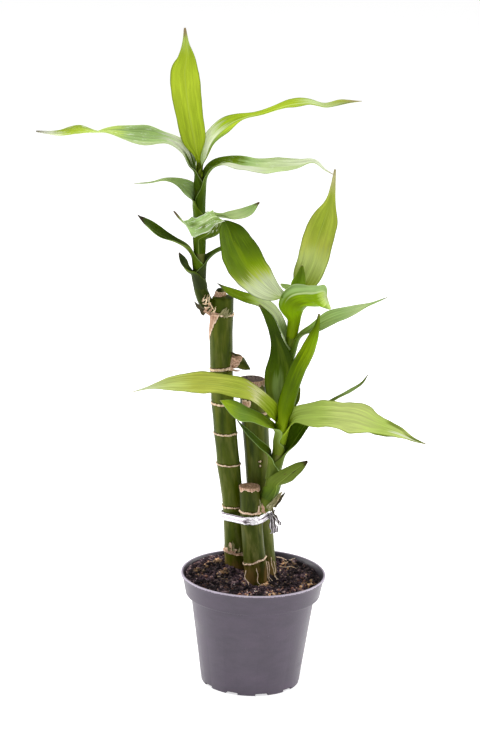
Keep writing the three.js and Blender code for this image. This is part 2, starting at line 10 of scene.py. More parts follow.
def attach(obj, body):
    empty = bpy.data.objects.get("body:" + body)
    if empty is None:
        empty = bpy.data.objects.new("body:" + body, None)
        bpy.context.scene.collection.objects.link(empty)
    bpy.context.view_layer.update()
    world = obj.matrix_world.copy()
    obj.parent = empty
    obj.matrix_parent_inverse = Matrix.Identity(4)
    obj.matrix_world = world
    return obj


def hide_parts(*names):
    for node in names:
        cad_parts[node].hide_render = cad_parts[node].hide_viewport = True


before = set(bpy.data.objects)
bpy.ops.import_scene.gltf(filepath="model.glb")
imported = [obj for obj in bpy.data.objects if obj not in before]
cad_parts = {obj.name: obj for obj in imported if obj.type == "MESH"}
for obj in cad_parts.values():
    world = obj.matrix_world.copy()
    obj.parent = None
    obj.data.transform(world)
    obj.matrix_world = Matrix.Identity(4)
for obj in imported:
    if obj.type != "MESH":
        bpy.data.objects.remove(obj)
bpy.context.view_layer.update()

MM = 0.001

# Camera: a far, slightly rolled view from above the front, in mm and degrees
VIEW_FROM = Vector((-11.9, -1800.0, 700.0))
VIEW_PITCH = 15.5
VIEW_ROLL = 1.66
VIEW_LENS = 148.72
SENSOR = 36.0

# How far the camera sees and half the side of the floor, in metres
VIEW_REACH = 50.0
FLOOR_REACH = 40.0

# Light that the floor and the white surroundings give by themselves
FLOOR_GLOW = 0.62
WORLD_STRENGTH = 0.34

# Soft lights: where each stands, the side of its square, both in metres, and its power
LIGHTS = {
    "left": ((-1.2, 0.35, 0.6), 1.0, 10.0),
    "right": ((1.2, 0.35, 0.6), 1.0, 12.0),
    "top": ((-0.2, -0.1, 1.6), 1.2, 13.0),
}
LIGHT_AIM = Vector((0, 0, 0.18))

# Pot, in mm
POT_HEIGHT = 70.6
RIM_RADIUS = 45.0
RIM_ROUND = 0.5
LIP_HEIGHT = 2.0
BASE_RADIUS = 30.6
POT_WALL = 1.5
POT_SIDES = 180
COLLAR_HEIGHT = 13.0
COLLAR_BOTTOM_RADIUS = 41.9
BODY_TOP_RADIUS = 38.6
FLOOR_THICKNESS = 2.4
NOTCH_COUNT = 10
NOTCH_WIDTH = 8.0
NOTCH_TURN = 284.0
NOTCH_HEIGHT = 1.6
NOTCH_DEPTH = 7.0
SHARP_ANGLE = 50
STEP_HEIGHT = POT_HEIGHT - COLLAR_HEIGHT
LIP_BOTTOM = POT_HEIGHT - LIP_HEIGHT
INNER_RIM = RIM_RADIUS - POT_WALL

# Inside of the pot's wall, from its floor up to its rim: radius and height
INNER_WALL = [
    (BASE_RADIUS - POT_WALL, FLOOR_THICKNESS),
    (BODY_TOP_RADIUS - POT_WALL, STEP_HEIGHT - RIM_ROUND),
    (COLLAR_BOTTOM_RADIUS - POT_WALL, STEP_HEIGHT + 2 * RIM_ROUND),
    (INNER_RIM - 1, LIP_BOTTOM),
    (INNER_RIM, POT_HEIGHT - RIM_ROUND),
    (INNER_RIM + RIM_ROUND, POT_HEIGHT),
]

# Air between two pieces, radius of a turned piece's innermost ring, and thickness of scraps and thin ribbons
GAP = 0.3
AXIS_RADIUS = 0.5
THIN_STRIP = 0.3

# Soil, in mm
SOIL_LEVEL = 66.8
SOIL_EDGE_BAND = 6.0
SOIL_EDGE_RISE = 2.6
BANK_SLOPE = 0.045
BANK_LOWEST = -0.8
MOUND = {"x": -12.0, "y": 11.0, "height": 5.0, "spread": 16.0}
SOIL_RINGS = 80
SOIL_SIDES = 220

# Canes: height, centre x, centre y and radius
CANE_FOOT = 26.0
CANE_SIDES = 80
CANE_STEP = 0.7
BURIED_STEP = 4.0
BURIED_CLEARANCE = 8.0
END_RINGS = 9
CANES = {
    "tall": [[CANE_FOOT, -10, 11, 6.4], [73, -11, 9.5, 6.9], [104, -13, 4.5, 6.5], [117, -14.2, 4, 6.5],
             [136, -16.8, 3.5, 7.1], [158, -19.5, 3, 7], [180, -22, 3, 7], [201, -23.3, 3, 6.9],
             [225, -24.1, 3, 7.2], [245, -23.6, 3, 6.6]],
    "middle": [[CANE_FOOT, 9, 12, 7], [66, 7.6, 10.5, 7.3], [104, 3.2, 8.8, 7.5], [122, 2.2, 8.6, 7.7],
               [148, 0, 9, 8], [173, -2.5, 9, 8.3], [193, -4.5, 9, 7.9]],
    "short": [[CANE_FOOT, 3, -2, 6.6], [66, 2, -3.6, 6.9], [84, 0.2, -5, 6.8], [104, -2, -6.2, 6.8],
              [124, -3.4, -7, 6.5], [129, -4, -7, 6.4]],
}

# Ring scars: height, how far each stands out, half height of its tan band, and its slope to the right
RINGS = {
    "tall": [[82, 0.8, 0.8, -0.05], [112.8, 0.6, 0.55, 0.04], [140.2, 0.7, 0.5, 0.0],
             [160, 0.6, 0.55, 0.0], [179, 0.5, 0.7, 0.0], [201.6, 0.7, 0.9, 0.16],
             [236, 0.6, 0.8, -0.1]],
    "middle": [[172.5, 0.8, 0.9, -0.03]],
    "short": [[80.5, 0.8, 0.6, 0.36], [113, 0.8, 0.7, 0.0]],
}

# Shape of a ring scar, in mm: half height of its sharp step over and under it, half height of the swelling
# round it, and the place, depth and half height of the groove over it
STEP_OVER = 0.4
STEP_UNDER = 0.8
SWELLING = 3.5
GROOVE = {"place": 1.4, "depth": 0.16, "spread": 0.7}

# Stem of each shoot: x, y, z and radius
SHOOTS = {
    "tall": [[-25, 3, 238, 3.6], [-32, 3, 240, 4.3], [-36.5, 3, 248, 4.2], [-38.2, 3, 258, 3.9],
             [-38.4, 3, 272, 3.5], [-39, 3, 290, 3.3], [-39.3, 3, 306, 3.2], [-39.6, 3, 316, 2.9],
             [-39.8, 3, 323, 1.6], [-40.4, 3, 328.4, 0.5]],
    "middle": [[-1, 9, 166, 3.4], [5.5, 9, 171, 3.8], [11, 9.5, 183, 3.7], [15.8, 8.5, 198, 3.5],
               [18, 7, 212, 3.4], [19.5, 6, 225, 3.3], [21, 5, 238, 3], [22, 5, 245, 2.6],
               [22.3, 5, 248.6, 1.6]],
    "short": [[0, -7, 113.8, 3.4], [5, -7, 116.3, 4.6], [8.2, -7, 122, 4.9], [10.8, -8, 139, 4.1],
              [13.2, -8, 153, 3.6], [14.4, -8, 163, 3.3], [14.8, -8, 171, 2.8], [15, -7.8, 173.4, 1.8]],
}
SHOOT_STEP = 6.0
SHOOT_FINE_STEP = 1.2
SHOOT_SIDES = 40

# Small growths of the tall cane: a dead stub on the right and the dried end of the cane
STUB = [[-20.4, 3, 205, 4.2], [-16.6, 3, 205.8, 4.6], [-13.8, 3, 205.4, 4.5], [-11.2, 3, 204, 3.6],
        [-8.2, 3, 202, 2.1], [-5.6, 3, 200.6, 0.4]]
DRIED_END = [[-25.2, 3, 243, 4.0], [-25.2, 3, 246.8, 3.8], [-25.1, 3, 249.2, 3.2], [-25, 3, 250.7, 2.1],
             [-24.9, 3, 251.3, 0.8]]
GROWTH_STEP = 0.4
GROWTH_SIDES = 56

# Leaves, in mm and degrees
CAD_THICKNESS = 0.9
SHEATH_STEP = 4.5
SHEATH_ANGLE = 76.0
SHEATH_ROUND = 165.0
SHEATH_SUNK = -0.1
BLADE_CUP = 24.0
BLADE_STEP = 1.4
BLADE_THICKNESS = 0.42
BLADE_WIDENING = 1.02
EDGE_THICKNESS = 0.07
TIP_HALF_WIDTH = 0.12
BLUNT_WIDTH = 2.5
RIB_HEIGHT = 0.16
RIB_SPREAD = 0.1
STRIPS = 16
WAVE_LENGTH = 24.0
WAVE_HEIGHT = 0.06

# Share of the half width by which the wavy leaves' edges rise and fall
RIPPLES = {"tall_4": 0.24, "tall_7": 0.1, "tall_8": 0.1, "tall_9": 0.09, "middle_1": 0.12, "middle_3": 0.1,
           "short_5": 0.2, "short_6": 0.1}

# Factor on the half width and degrees more of channel for the first two rows of each blade
PETIOLE = [(1.25, 10.0), (1.1, 4.0)]

# Each leaf: its compass angle round its stem, with 0 to the right and 270 to the front, the lowest and the
# highest point of its sheath or rolled base, and the rows of its blade. Each row is x, y, z, half width, roll
# and, where given, the half angle of its channel.
LEAVES = {
    "tall": [
        (200, 251, 259, [[-46, 1, 262, 4.4, -20, 40], [-48.7, 1, 267, 4.8, -35], [-50.4, 1, 271, 3, -35],
            [-51, 1, 273.2, 0.6, -35]]),
        (20, 257, 266, [[-31, 4, 271, 3, 0, 45], [-24, 6, 275, 4, 0], [-15, 9, 276, 4, 0],
            [-8, 11, 274, 0.6, 0]]),
        (188, 263, 269, [[-46, 2, 275, 3.6, 0, 50], [-53, 0, 280, 3.4, -15, 50],
            [-62, -3, 284.5, 4.8, -30, 50], [-70, -6, 291, 4.9, -20, 40], [-74.4, -8.4, 295.8, 2.4, -10],
            [-76, -9, 298, 0.6, 0]]),
        (262, 273, 281, [[-34.4, -4.4, 286, 5.8, 0, 50], [-30, -8, 293.4, 5.6, -15, 50],
            [-28, -12, 298.6, 5.2, -30, 40], [-30.4, -17, 299.4, 4.6, -52], [-37, -21, 296.6, 5.4, -64],
            [-43.6, -24, 294.8, 6.2, -76], [-49.4, -26, 299, 2.4, -50], [-54, -27, 305, 0.6, -20]]),
        (60, 279, 288, [[-33, 9, 293, 4, 0, 50], [-21, 14, 293, 5, 10], [-11, 18, 295, 4.5, 10],
            [-3, 22, 301, 0.6, 0]]),
        (180, 291, 301, [[-43.5, 3, 307, 5.4, -24, 50], [-47, 2, 312, 6, -35, 35], [-52, 2, 315.6, 5, -25],
            [-59, 3, 317, 3.5, -5], [-70, 4, 315, 2.6, 10], [-79, 5, 314, 0.6, 0]]),
        (350, 296, 312, [[-34.6, 1, 321.6, 4.1, 22, 50], [-30.7, -1, 327.4, 4.8, 24, 44],
            [-24, -4, 330.3, 6, 16, 36], [-14, -8, 329.8, 7.4, 22], [2, -13, 330, 7.6, 24],
            [19, -17, 332.5, 6.5, 18], [29, -19, 335, 4, 0], [35, -20, 331, 1.8, 0],
            [41, -21, 328, 0.6, 0]]),
        (185, 312, 321, [[-45.6, 2, 327, 4.8, -26, 50], [-50, 0, 336, 6.2, -24, 40],
            [-57, -2, 342, 6.8, -20], [-70, -5, 344.5, 8, -32], [-86, -8, 346.5, 7.2, -28],
            [-96, -10, 348, 5, 0], [-103, -11, 348, 4, 20], [-112, -12, 349, 3.8, 55],
            [-124, -13, 347, 2.2, 60], [-137, -14, 348, 0.6, 60]]),
        (8, 321.6, 324.8, [[-36.4, 4, 332, 4.6, 22, 44], [-33.4, 5, 340.6, 6.2, 26, 36],
            [-26, 7, 349, 7.5, 25], [-16, 9, 354.6, 6.8, 10], [-1, 12, 358, 6, -5], [14, 15, 363, 6, 15],
            [25, 17, 364, 5, 10], [35, 19, 362, 4, 10], [45, 21, 364, 3.4, 15], [57, 23, 365, 0.6, 0]]),
        (90, 319.0, 326.5, [[-43.5, 3, 343, 5.9, 0], [-46.4, 3, 357, 7.5, 0], [-49, 4, 373, 9, 0],
            [-50, 5, 383, 8.6, 0], [-49.2, 6, 391, 5.6, 0], [-49.8, 7, 399, 2.4, 0],
            [-50.6, 8, 409, 0.6, 0]]),
    ],
    "middle": [
        (350, 203, 214, [[24.4, 6, 220.5, 4.2, 0, 50], [31, 5, 226, 5.4, 20], [39, 3, 231.4, 6.6, 28],
            [49, 0, 236.7, 7, 28], [59, -3, 241.5, 5, 15], [67, -5, 246, 3, 0], [76, -7, 251, 0.6, 0]]),
        (175, 207, 216, [[12, 5, 226, 4.4, -14, 50], [7, 4, 236.6, 4.8, -24, 40], [-1, 1, 243.4, 4.4, -30],
            [-13, -4, 248, 4, -32], [-21, -7, 252, 3.3, -20], [-27, -9, 257, 0.6, 0]]),
        (270, 221, 231, [[18.8, -2.4, 238, 8.4, 0, 60], [20.8, -9, 245.4, 10.5, -20, 60],
            [27.4, -17, 249.9, 10.4, -40, 60], [33, -26, 252.5, 9.4, -58, 56],
            [37, -33, 256.4, 7.4, -74, 44], [38.6, -37, 258.2, 4.6, -84, 36]]),
        (205, 234, 239, [[13, 2.8, 245.6, 5.2, -10, 50], [7.6, 1, 249.5, 7.8, -35, 35],
            [0, -4, 256.4, 11.2, -60], [-10.6, -9, 268.6, 13, -76], [-17.6, -13, 281.8, 12, -78],
            [-21, -14, 291, 8.4, -78], [-24, -11.6, 297, 3.4, -78]]),
        (110, 241, 243.4, [[18, 10.5, 249, 3.2, 0, 45], [14.4, 13, 250.6, 2.8, 0],
            [11.4, 15, 252, 0.6, 0]]),
        (90, 246.4, 248.2, [[24, 6.6, 252, 4.5, 0, 45], [26, 7, 257, 7.2, 0], [30, 8, 268, 9.3, 0],
            [33, 9, 282, 9.5, 0], [37, 10, 295, 8, 0], [40, 11, 306, 3, 0], [41, 11, 314, 1.7, 0],
            [42, 12, 325, 0.6, 0]]),
        (280, 243.5, 246, [[22.4, 2, 255, 4.2, 0, 50], [23.4, 2.4, 260, 3, 0, 44], [24, 2.6, 267, 0.6, 0]]),
    ],
    "short": [
        (300, 121.6, 130, [[12.6, -15, 132.6, 5.4, -20, 50], [16.6, -17, 137.2, 5.2, -30, 30],
            [21.8, -18.6, 142.4, 4.2, -50], [26.8, -19.6, 146.6, 2.8, -60], [30.8, -20, 150, 0.6, -60]]),
        (190, 134, 144, [[6.4, -11, 150, 4.4, -10, 50], [-0.4, -14, 158.5, 3.8, -25, 40],
            [-6.6, -16, 165.4, 3, -25, 40], [-12.8, -18, 174, 0.6, -20]]),
        (10, 139, 149, [[22, -6, 156.8, 6, 24, 55], [28.4, -4, 167, 6.2, 24, 40], [37.4, -2, 176.6, 4.4, 5],
            [47.4, 0, 184, 4, -8], [57, 2, 189, 4.4, -8], [63.5, 3, 194, 2.6, -8], [66.6, 4, 199, 0.6, 0]]),
        (200, 150.5, 158, [[10.6, -11, 165.6, 4.6, -5, 55], [5, -15, 171.4, 5, -25],
            [-4, -19, 177, 5.4, -35], [-12.4, -23, 180.4, 7, -42], [-18.6, -26, 184.8, 5.4, -35],
            [-23.4, -28, 189, 0.6, -20]]),
        (355, 157, 164, [[22.4, -10, 174, 5.4, 34, 46], [31, -13, 176.8, 8.4, 34],
            [43.6, -17, 178.2, 9.4, 44], [57, -21, 178, 10.6, 44], [71.4, -25, 174.6, 8.4, 36],
            [84.7, -29, 172, 4.8, 26], [95, -32, 168.4, 2.4, 10], [102, -34, 167, 0.6, 0]]),
        (185, 164.5, 169, [[9.4, -9.4, 175.6, 4.8, -36, 36], [3, -11, 183.2, 6, -34, 32],
            [-5.4, -13, 190, 7.4, -34], [-17, -16, 194.4, 7.8, -40], [-31, -19, 196.7, 7.8, -40],
            [-43, -22, 197.2, 7.2, -40], [-55, -25, 197, 5, -36], [-64.6, -27, 195.8, 2.2, -20],
            [-76, -29, 193.2, 0.6, 0]]),
        (60, 166.0, 170.0, [[19.4, -2, 177, 2.2, 0, 40], [23, 0, 183, 2.8, 0, 40], [25, 1, 190.5, 0.6, 0]]),
        (90, 166.5, 171.5, [[14.2, -2, 179, 4.8, 0, 30], [12.9, 0, 190, 8.4, 0], [13.1, 2, 203, 9.4, 0],
            [12.3, 2, 210.5, 6.8, 0], [10.8, 2, 217, 4.5, 0], [8.3, 0, 226, 3.4, 0], [4.2, -3, 236, 2.6, 0],
            [-1.4, -6.4, 244, 0.6, 0]]),
        (280, 163.0, 170.5, [[17, -11, 180, 4.8, 0, 50], [19.8, -12, 193, 5.3, 0, 45],
            [23.9, -12, 206, 5.4, 0, 45], [28.6, -11, 216, 5, 0, 45], [31.9, -10, 225, 3.6, 0, 40],
            [34, -9, 232, 1.8, 0], [35, -9, 240, 0.6, 0]]),
    ],
}

# Greens and dry colours of the plant, as they look in this light
PALETTE = {
    "black": (36, 42, 14), "deep": (52, 68, 6), "bottle": (62, 82, 8), "forest": (78, 100, 8),
    "moss": (90, 106, 34), "olive": (106, 122, 40), "grass": (96, 120, 2), "fresh": (118, 150, 4),
    "leaf": (118, 142, 16), "spring": (138, 162, 30), "lime": (160, 182, 48), "bright": (176, 196, 56),
    "fern": (114, 142, 58), "soft": (138, 162, 92), "sage": (150, 178, 110), "apple": (174, 196, 96),
    "mist": (180, 198, 140), "pale": (200, 210, 168), "cream": (214, 219, 196), "beige": (204, 204, 146),
    "straw": (186, 180, 130), "dry": (150, 132, 98), "umber": (84, 66, 44), "ink": (56, 48, 32),
    "white": (236, 240, 226), "reed": (160, 174, 66), "maize": (176, 184, 80), "butter": (194, 208, 122),
    "frost": (202, 208, 182),
}

# Colours along each leaf, from its sheath at 0 to its tip at 1. left and right are the two halves of a folded
# blade, lower is the underside, tip is where the dried end begins, and edge is the margin. A patch is its
# place along and across the blade, its half length and half width, its colour and its share. Light and shade
# are painted into many
# of these colours: the palest stops and some patches are painted sheen where the glossy blade reflects light,
# as on the pale lower third of middle_4 and low on short_8, a pale edge is partly a painted highlight, and
# where a folded blade's halves differ, as on tall_7 and short_9, one half holds painted shade and the other
# painted sheen. The other patches are real spots and stains.
LOOKS = {
    "tall_1": {"blade": "0.36 black, 0.46 bottle, 0.6 moss, 0.8 deep", "tip": (0.9, "umber"),
               "edge": "moss", "rib": "deep"},
    "tall_2": {"blade": "0.1 black, 0.26 deep, 0.4 bottle, 0.9 olive", "edge": "soft"},
    "tall_3": {"blade": "0.06 bottle, 0.2 moss, 0.45 deep, 0.8 bottle",
               "lower": "0.06 forest, 0.2 moss, 0.6 olive", "tip": (0.86, "ink"), "edge": "sage"},
    "tall_4": {"blade": "0.05 bottle, 0.2 forest, 0.36 fern, 0.5 soft, 0.7 sage",
               "lower": "0.05 bottle, 0.24 forest, 0.35 moss, 0.5 soft", "tip": (0.9, "umber"),
               "edge": "white", "streak": 1.8, "glint": 1.0,
               "patches": [(0.62, -0.2, 0.08, 0.3, "mist", 0.8), (0.5, 0.4, 0.06, 0.3, "fern", 0.9),
                           (0.68, 0.34, 0.05, 0.26, "moss", 0.8), (0.75, -0.3, 0.04, 0.3, "moss", 0.7)]},
    "tall_5": {"blade": "0.1 bottle, 0.25 moss, 0.4 soft, 0.7 mist, 0.9 sage", "tip": (0.92, "umber"),
               "edge": "olive"},
    "tall_6": {"blade": "0.05 bottle, 0.16 moss, 0.3 sage, 0.6 soft, 0.8 mist, 0.95 cream",
               "lower": "0.05 bottle, 0.2 forest, 0.35 moss, 0.5 soft", "glint": 0.4},
    "tall_7": {"left": "0.05 bottle, 0.24 forest, 0.32 leaf, 0.37 frost, 0.52 frost, 0.65 mist, "
                       "0.85 mist, 0.95 cream",
               "right": "0.05 bottle, 0.24 forest, 0.3 forest, 0.44 grass, 0.5 sage, 0.6 mist, 0.95 frost",
               "lower": "0.05 bottle, 0.28 forest, 0.36 moss, 0.5 soft, 0.7 mist", "glint": 0.3,
               "tip": (0.95, "dry"), "edge": "soft"},
    "tall_8": {"blade": "0.04 bottle, 0.14 forest, 0.2 frost, 0.29 frost, 0.35 sage, 0.54 sage, "
                        "0.6 apple, 0.73 apple, 0.78 lime, 0.85 lime, 0.9 cream",
               "lower": "0.2 bottle, 0.28 moss, 0.4 soft, 0.6 apple, 0.7 apple, 0.78 lime, 0.86 lime, "
                        "0.92 cream", "tip": (0.95, "umber"), "streak": 1.8, "glint": 0.45, "edge": "mist",
               "patches": [(0.42, 0.8, 0.2, 0.3, "mist", 0.8), (0.44, -0.5, 0.14, 0.3, "fern", 0.3)]},
    "tall_9": {"left": "0.03 moss, 0.1 olive, 0.2 fern, 0.3 lime, 0.6 lime, 0.76 apple, 0.84 mist, "
                       "0.9 olive, 0.98 dry",
               "right": "0.03 soft, 0.09 mist, 0.15 frost, 0.22 pale, 0.3 spring, 0.5 lime, 0.66 lime, "
                        "0.78 mist, 0.88 reed, 0.98 dry", "lower": "0.03 moss, 0.14 spring, 0.5 lime",
               "streak": 1.4, "rib": "white", "ribbed": 0.36, "split": -0.2},
    "tall_10": {"blade": "0.03 leaf, 0.1 spring, 0.22 lime, 0.4 lime, 0.64 bright, 0.82 lime, 0.92 apple",
                "tip": (0.93, "dry"), "edge": "olive", "centre": "bright"},
    "middle_1": {"blade": "0.08 bottle, 0.24 moss, 0.36 fern, 0.5 soft, 0.62 sage, 0.78 mist, 0.9 sage",
                 "tip": (0.95, "umber"), "edge": "fern",
                 "lower": "0.08 bottle, 0.2 forest, 0.4 olive, 0.7 soft", "streak": 1.5},
    "middle_2": {"blade": "0.04 moss, 0.26 soft, 0.36 pale, 0.54 pale, 0.64 apple, 0.7 leaf",
                 "lower": "0.04 moss, 0.12 mist, 0.32 mist, 0.46 soft, 0.7 olive", "tip": (0.93, "ink"),
                 "edge": "bottle", "streak": 1.8},
    "middle_3": {"blade": "0.3 grass, 0.6 fresh, 0.8 fresh, 0.9 apple, 0.98 mist",
                 "lower": "0.08 leaf, 0.28 fresh, 0.45 grass, 0.6 fresh, 0.82 fresh, 0.9 apple, 0.98 mist",
                 "edge": "mist", "rib": "grass", "patches": [(0.8, -0.86, 0.46, 0.42, "sage", 1.0),
                                                             (0.74, -0.5, 0.34, 0.06, "mist", 0.9),
                                                             (0.74, 0.8, 0.14, 0.3, "soft", 0.8)]},
    "middle_4": {"blade": "0.06 leaf, 0.14 apple, 0.24 pale, 0.38 pale, 0.5 reed, 0.58 leaf, 0.66 grass, "
                          "0.76 forest, 0.9 forest, 0.97 bottle", "streak": 1.9, "edge": "bottle",
                 "rib": "leaf", "tip": (1.2, "leaf"), "skew": -0.1,
                 "patches": [(0.58, 0.5, 0.13, 0.5, "forest", 0.7), (0.7, -0.1, 0.1, 0.14, "leaf", 0.5)]},
    "middle_5": {"blade": "0.2 fern, 0.8 soft"},
    "middle_6": {"blade": "0.03 leaf, 0.1 reed, 0.28 butter, 0.42 maize, 0.55 reed, 0.8 reed, 0.96 straw",
                 "edge": "olive", "patches": [(0.24, 0.2, 0.2, 0.5, "butter", 0.5),
                                              (0.6, 0.2, 0.24, 0.5, "leaf", 0.3)]},
    "middle_7": {"blade": "0.2 leaf, 0.5 fresh, 0.8 grass", "edge": "fresh", "rib": "grass"},
    "short_1": {"blade": "0.06 bottle, 0.22 forest, 0.4 moss", "tip": (0.9, "ink"), "edge": "moss",
                "patches": [(0.7, 0.1, 0.03, 0.12, "ink", 0.9), (0.6, -0.35, 0.02, 0.1, "umber", 0.7)]},
    "short_2": {"blade": "0.3 moss, 0.5 forest, 0.8 bottle", "edge": "sage"},
    "short_3": {"blade": "0.05 moss, 0.2 forest, 0.35 bottle, 0.6 forest, 0.7 moss, 0.82 soft, 0.92 moss",
                "edge": "deep"},
    "short_4": {"blade": "0.06 moss, 0.2 olive, 0.3 spring, 0.7 fern, 0.95 spring", "edge": "sage",
                "lower": "0.06 olive, 0.5 soft"},
    "short_5": {"blade": "0.05 leaf, 0.12 spring, 0.2 apple, 0.34 apple, 0.46 butter, 0.6 butter, "
                         "0.74 apple, 0.86 butter, 0.95 olive", "streak": 1.2, "edge": "olive",
                "patches": [(0.76, -0.95, 0.09, 0.24, "moss", 0.9), (0.8, 0.85, 0.07, 0.3, "olive", 0.8),
                            (0.93, 0.5, 0.08, 0.4, "moss", 0.8), (0.88, -0.1, 0.12, 0.24, "cream", 0.8)]},
    "short_6": {"blade": "0.04 leaf, 0.14 spring, 0.22 reed, 0.255 beige, 0.285 beige, 0.3 maize, "
                         "0.38 reed, 0.52 maize, 0.66 maize, 0.8 butter, 0.94 pale",
                "lower": "0.04 leaf, 0.3 olive, 0.6 lime", "edge": "olive", "streak": 1.3},
    "short_7": {"blade": "0.2 forest, 0.8 olive"},
    "short_8": {"blade": "0.05 leaf, 0.13 moss, 0.2 olive, 0.3 moss, 0.4 forest, 0.54 bottle, 0.7 deep, "
                         "0.9 bottle", "streak": 1.6, "edge": "deep", "rib": "bottle",
                "patches": [(0.27, 0.15, 0.16, 0.4, "soft", 0.6), (0.36, -0.4, 0.16, 0.12, "olive", 0.6),
                            (0.57, -0.1, 0.12, 0.34, "moss", 0.6)]},
    "short_9": {"left": "0.06 spring, 0.25 grass, 0.42 forest, 0.6 forest, 0.72 leaf, 0.84 grass, "
                        "0.96 bottle",
                "right": "0.06 spring, 0.2 grass, 0.42 forest, 0.55 grass, 0.7 leaf, 0.8 fresh, 0.9 grass",
                "edge": "deep", "rib": "forest", "dull": 0.0, "split": -0.4},
}

# Share of a surface's colour that this light shows, and the sheen that it adds
LIGHT_SHARE = 0.86
SHEEN = 0.008

# Values between which most of a noise texture lies
NOISE_RANGE = (0.3, 0.7)


def srgb(screen):
    """Linear colour of a screen colour given as three numbers up to 255."""
    def linear(value):
        part = value / 255
        return part / 12.92 if part <= 0.04045 else ((part + 0.055) / 1.055) ** 2.4
    return (*(linear(value) for value in screen), 1.0)


def paint(tint):
    """Surface colour that looks like a screen colour, or a colour of the palette, in this light."""
    seen = srgb(PALETTE[tint] if isinstance(tint, str) else tint)[:3]
    return (*(max(0.0, (part - SHEEN) / LIGHT_SHARE) for part in seen), 1.0)


class Shader:
    """Node material, with short calls for the nodes that the pieces use."""

    def __init__(self, name):
        self.material = bpy.data.materials.new(name)
        self.material.use_nodes = True
        self.tree = self.material.node_tree
        self.tree.nodes.clear()

    def add(self, kind, inputs, **settings):
        node = self.tree.nodes.new(kind)
        for key, value in settings.items():
            setattr(node, key, value)
        for key, value in inputs.items():
            if isinstance(value, bpy.types.NodeSocket):
                self.tree.links.new(value, node.inputs[key])
            else:
                node.inputs[key].default_value = value
        return node

    def attribute(self, name, output="Fac"):
        return self.add("ShaderNodeAttribute", {}, attribute_name=name).outputs[output]

    def grain(self):
        """Place on a piece, in mm, that its mesh holds for each point."""
        return self.attribute("grain", "Vector")

    def place(self):
        """Place in the frame of the whole plant, in mm."""
        return self.stretch(self.add("ShaderNodeTexCoord", {}).outputs["Object"], (1 / MM,) * 3)

    def stretch(self, vector, scale):
        node = self.add("ShaderNodeVectorMath", {0: vector, 1: scale}, operation="MULTIPLY")
        return node.outputs["Vector"]

    def noise(self, vector, scale, detail=3.0, rough=0.5):
        inputs = {"Vector": vector, "Scale": scale, "Detail": detail, "Roughness": rough}
        return self.add("ShaderNodeTexNoise", inputs).outputs["Fac"]

    def fibres(self, vector, scale, detail=3.0, rough=0.5):
        """Noise with its own scale along each axis."""
        return self.noise(self.stretch(vector, scale), 1.0, detail, rough)

    def math(self, operation, a, b=0.0):
        return self.add("ShaderNodeMath", {0: a, 1: b}, operation=operation).outputs["Value"]

    def plus(self, a, b):
        return self.math("ADD", a, b)

    def minus(self, a, b):
        return self.math("SUBTRACT", a, b)

    def times(self, a, b):
        return self.math("MULTIPLY", a, b)

    def span(self, value, low, high, start=0.0, end=1.0):
        """Goes smoothly from start to end while value goes from low to high."""
        inputs = {"Value": value, "From Min": low, "From Max": high, "To Min": start, "To Max": end}
        return self.add("ShaderNodeMapRange", inputs, interpolation_type="SMOOTHSTEP").outputs["Result"]

    def sway(self, noise, start, end):
        """Goes from start to end over most of a noise's range."""
        return self.span(noise, *NOISE_RANGE, start, end)

    def ramp(self, value, stops):
        """Colours at places from 0 to 1, given as pairs or as a text like that of the leaves."""
        if isinstance(stops, str):
            pairs = [stop.split() for stop in stops.split(", ")]
            stops = [(float(place), colour) for place, colour in pairs]
        node = self.add("ShaderNodeValToRGB", {"Fac": value})
        elements = node.color_ramp.elements
        while len(elements) < len(stops):
            elements.new(1.0)
        for element, (place, colour) in zip(elements, stops):
            element.position = place
            element.color = paint(colour)
        return node.outputs["Color"]

    def mix(self, amount, a, b, blend="MIX"):
        node = self.add("ShaderNodeMix", {0: amount, 6: a, 7: b}, data_type="RGBA", blend_type=blend)
        return node.outputs[2]

    def cover(self, colour, amount, tint):
        """A colour with a share of a paint over it."""
        return self.mix(amount, colour, paint(tint))

    def tone(self, colour, factor):
        """A colour made lighter or darker by a factor."""
        return self.mix(1.0, colour, factor, "MULTIPLY")

    def finish(self, colour, roughness, height=None, depth=0.0, **constants):
        """Closes the material, with bumps of a depth in mm where a height is given."""
        inputs = {"Base Color": colour, "Roughness": roughness}
        if height is not None:
            bump = self.add("ShaderNodeBump", {"Strength": 1.0, "Distance": depth * MM, "Height": height})
            inputs["Normal"] = bump.outputs["Normal"]
        inputs.update({key.replace("_", " "): value for key, value in constants.items()})
        shader = self.add("ShaderNodeBsdfPrincipled", inputs)
        output = self.add("ShaderNodeOutputMaterial", {"Surface": shader.outputs["BSDF"]})
        output.is_active_output = True
        return self.material


def add_object(name, data):
    """Adds an object with this data to the scene."""
    added = bpy.data.objects.new(name, data)
    bpy.context.scene.collection.objects.link(added)
    return added


def mesh_piece(name, places, faces, material, node, values=None, replaced=True):
    """Adds a piece from points in mm and its faces. values holds a number or three for every point."""
    mesh = bpy.data.meshes.new(name)
    mesh.from_pydata([Vector(place) * MM for place in places], [], faces)
    for key, column in (values or {}).items():
        wide = isinstance(column[0], (tuple, list, Vector))
        layer = mesh.attributes.new(key, "FLOAT_VECTOR" if wide else "FLOAT", "POINT")
        flat = [part for item in column for part in item] if wide else list(column)
        layer.data.foreach_set("vector" if wide else "value", flat)
    shape = bmesh.new()
    shape.from_mesh(mesh)
    bmesh.ops.recalc_face_normals(shape, faces=shape.faces)
    shape.to_mesh(mesh)
    shape.free()
    mesh.polygons.foreach_set("use_smooth", [True] * len(mesh.polygons))
    mesh.materials.append(material)
    piece = add_object(name, mesh)
    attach(piece, "root")
    if replaced:
        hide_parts(node)
    return piece


def waver(x, y, z):
    """Smooth noise at a point, between -1 and 1."""
    return noise.noise(Vector((x, y, z)))


def turns(sides):
    """Angle of each side of a ring, counted from the right."""
    return [2 * math.pi * k / sides for k in range(sides)]


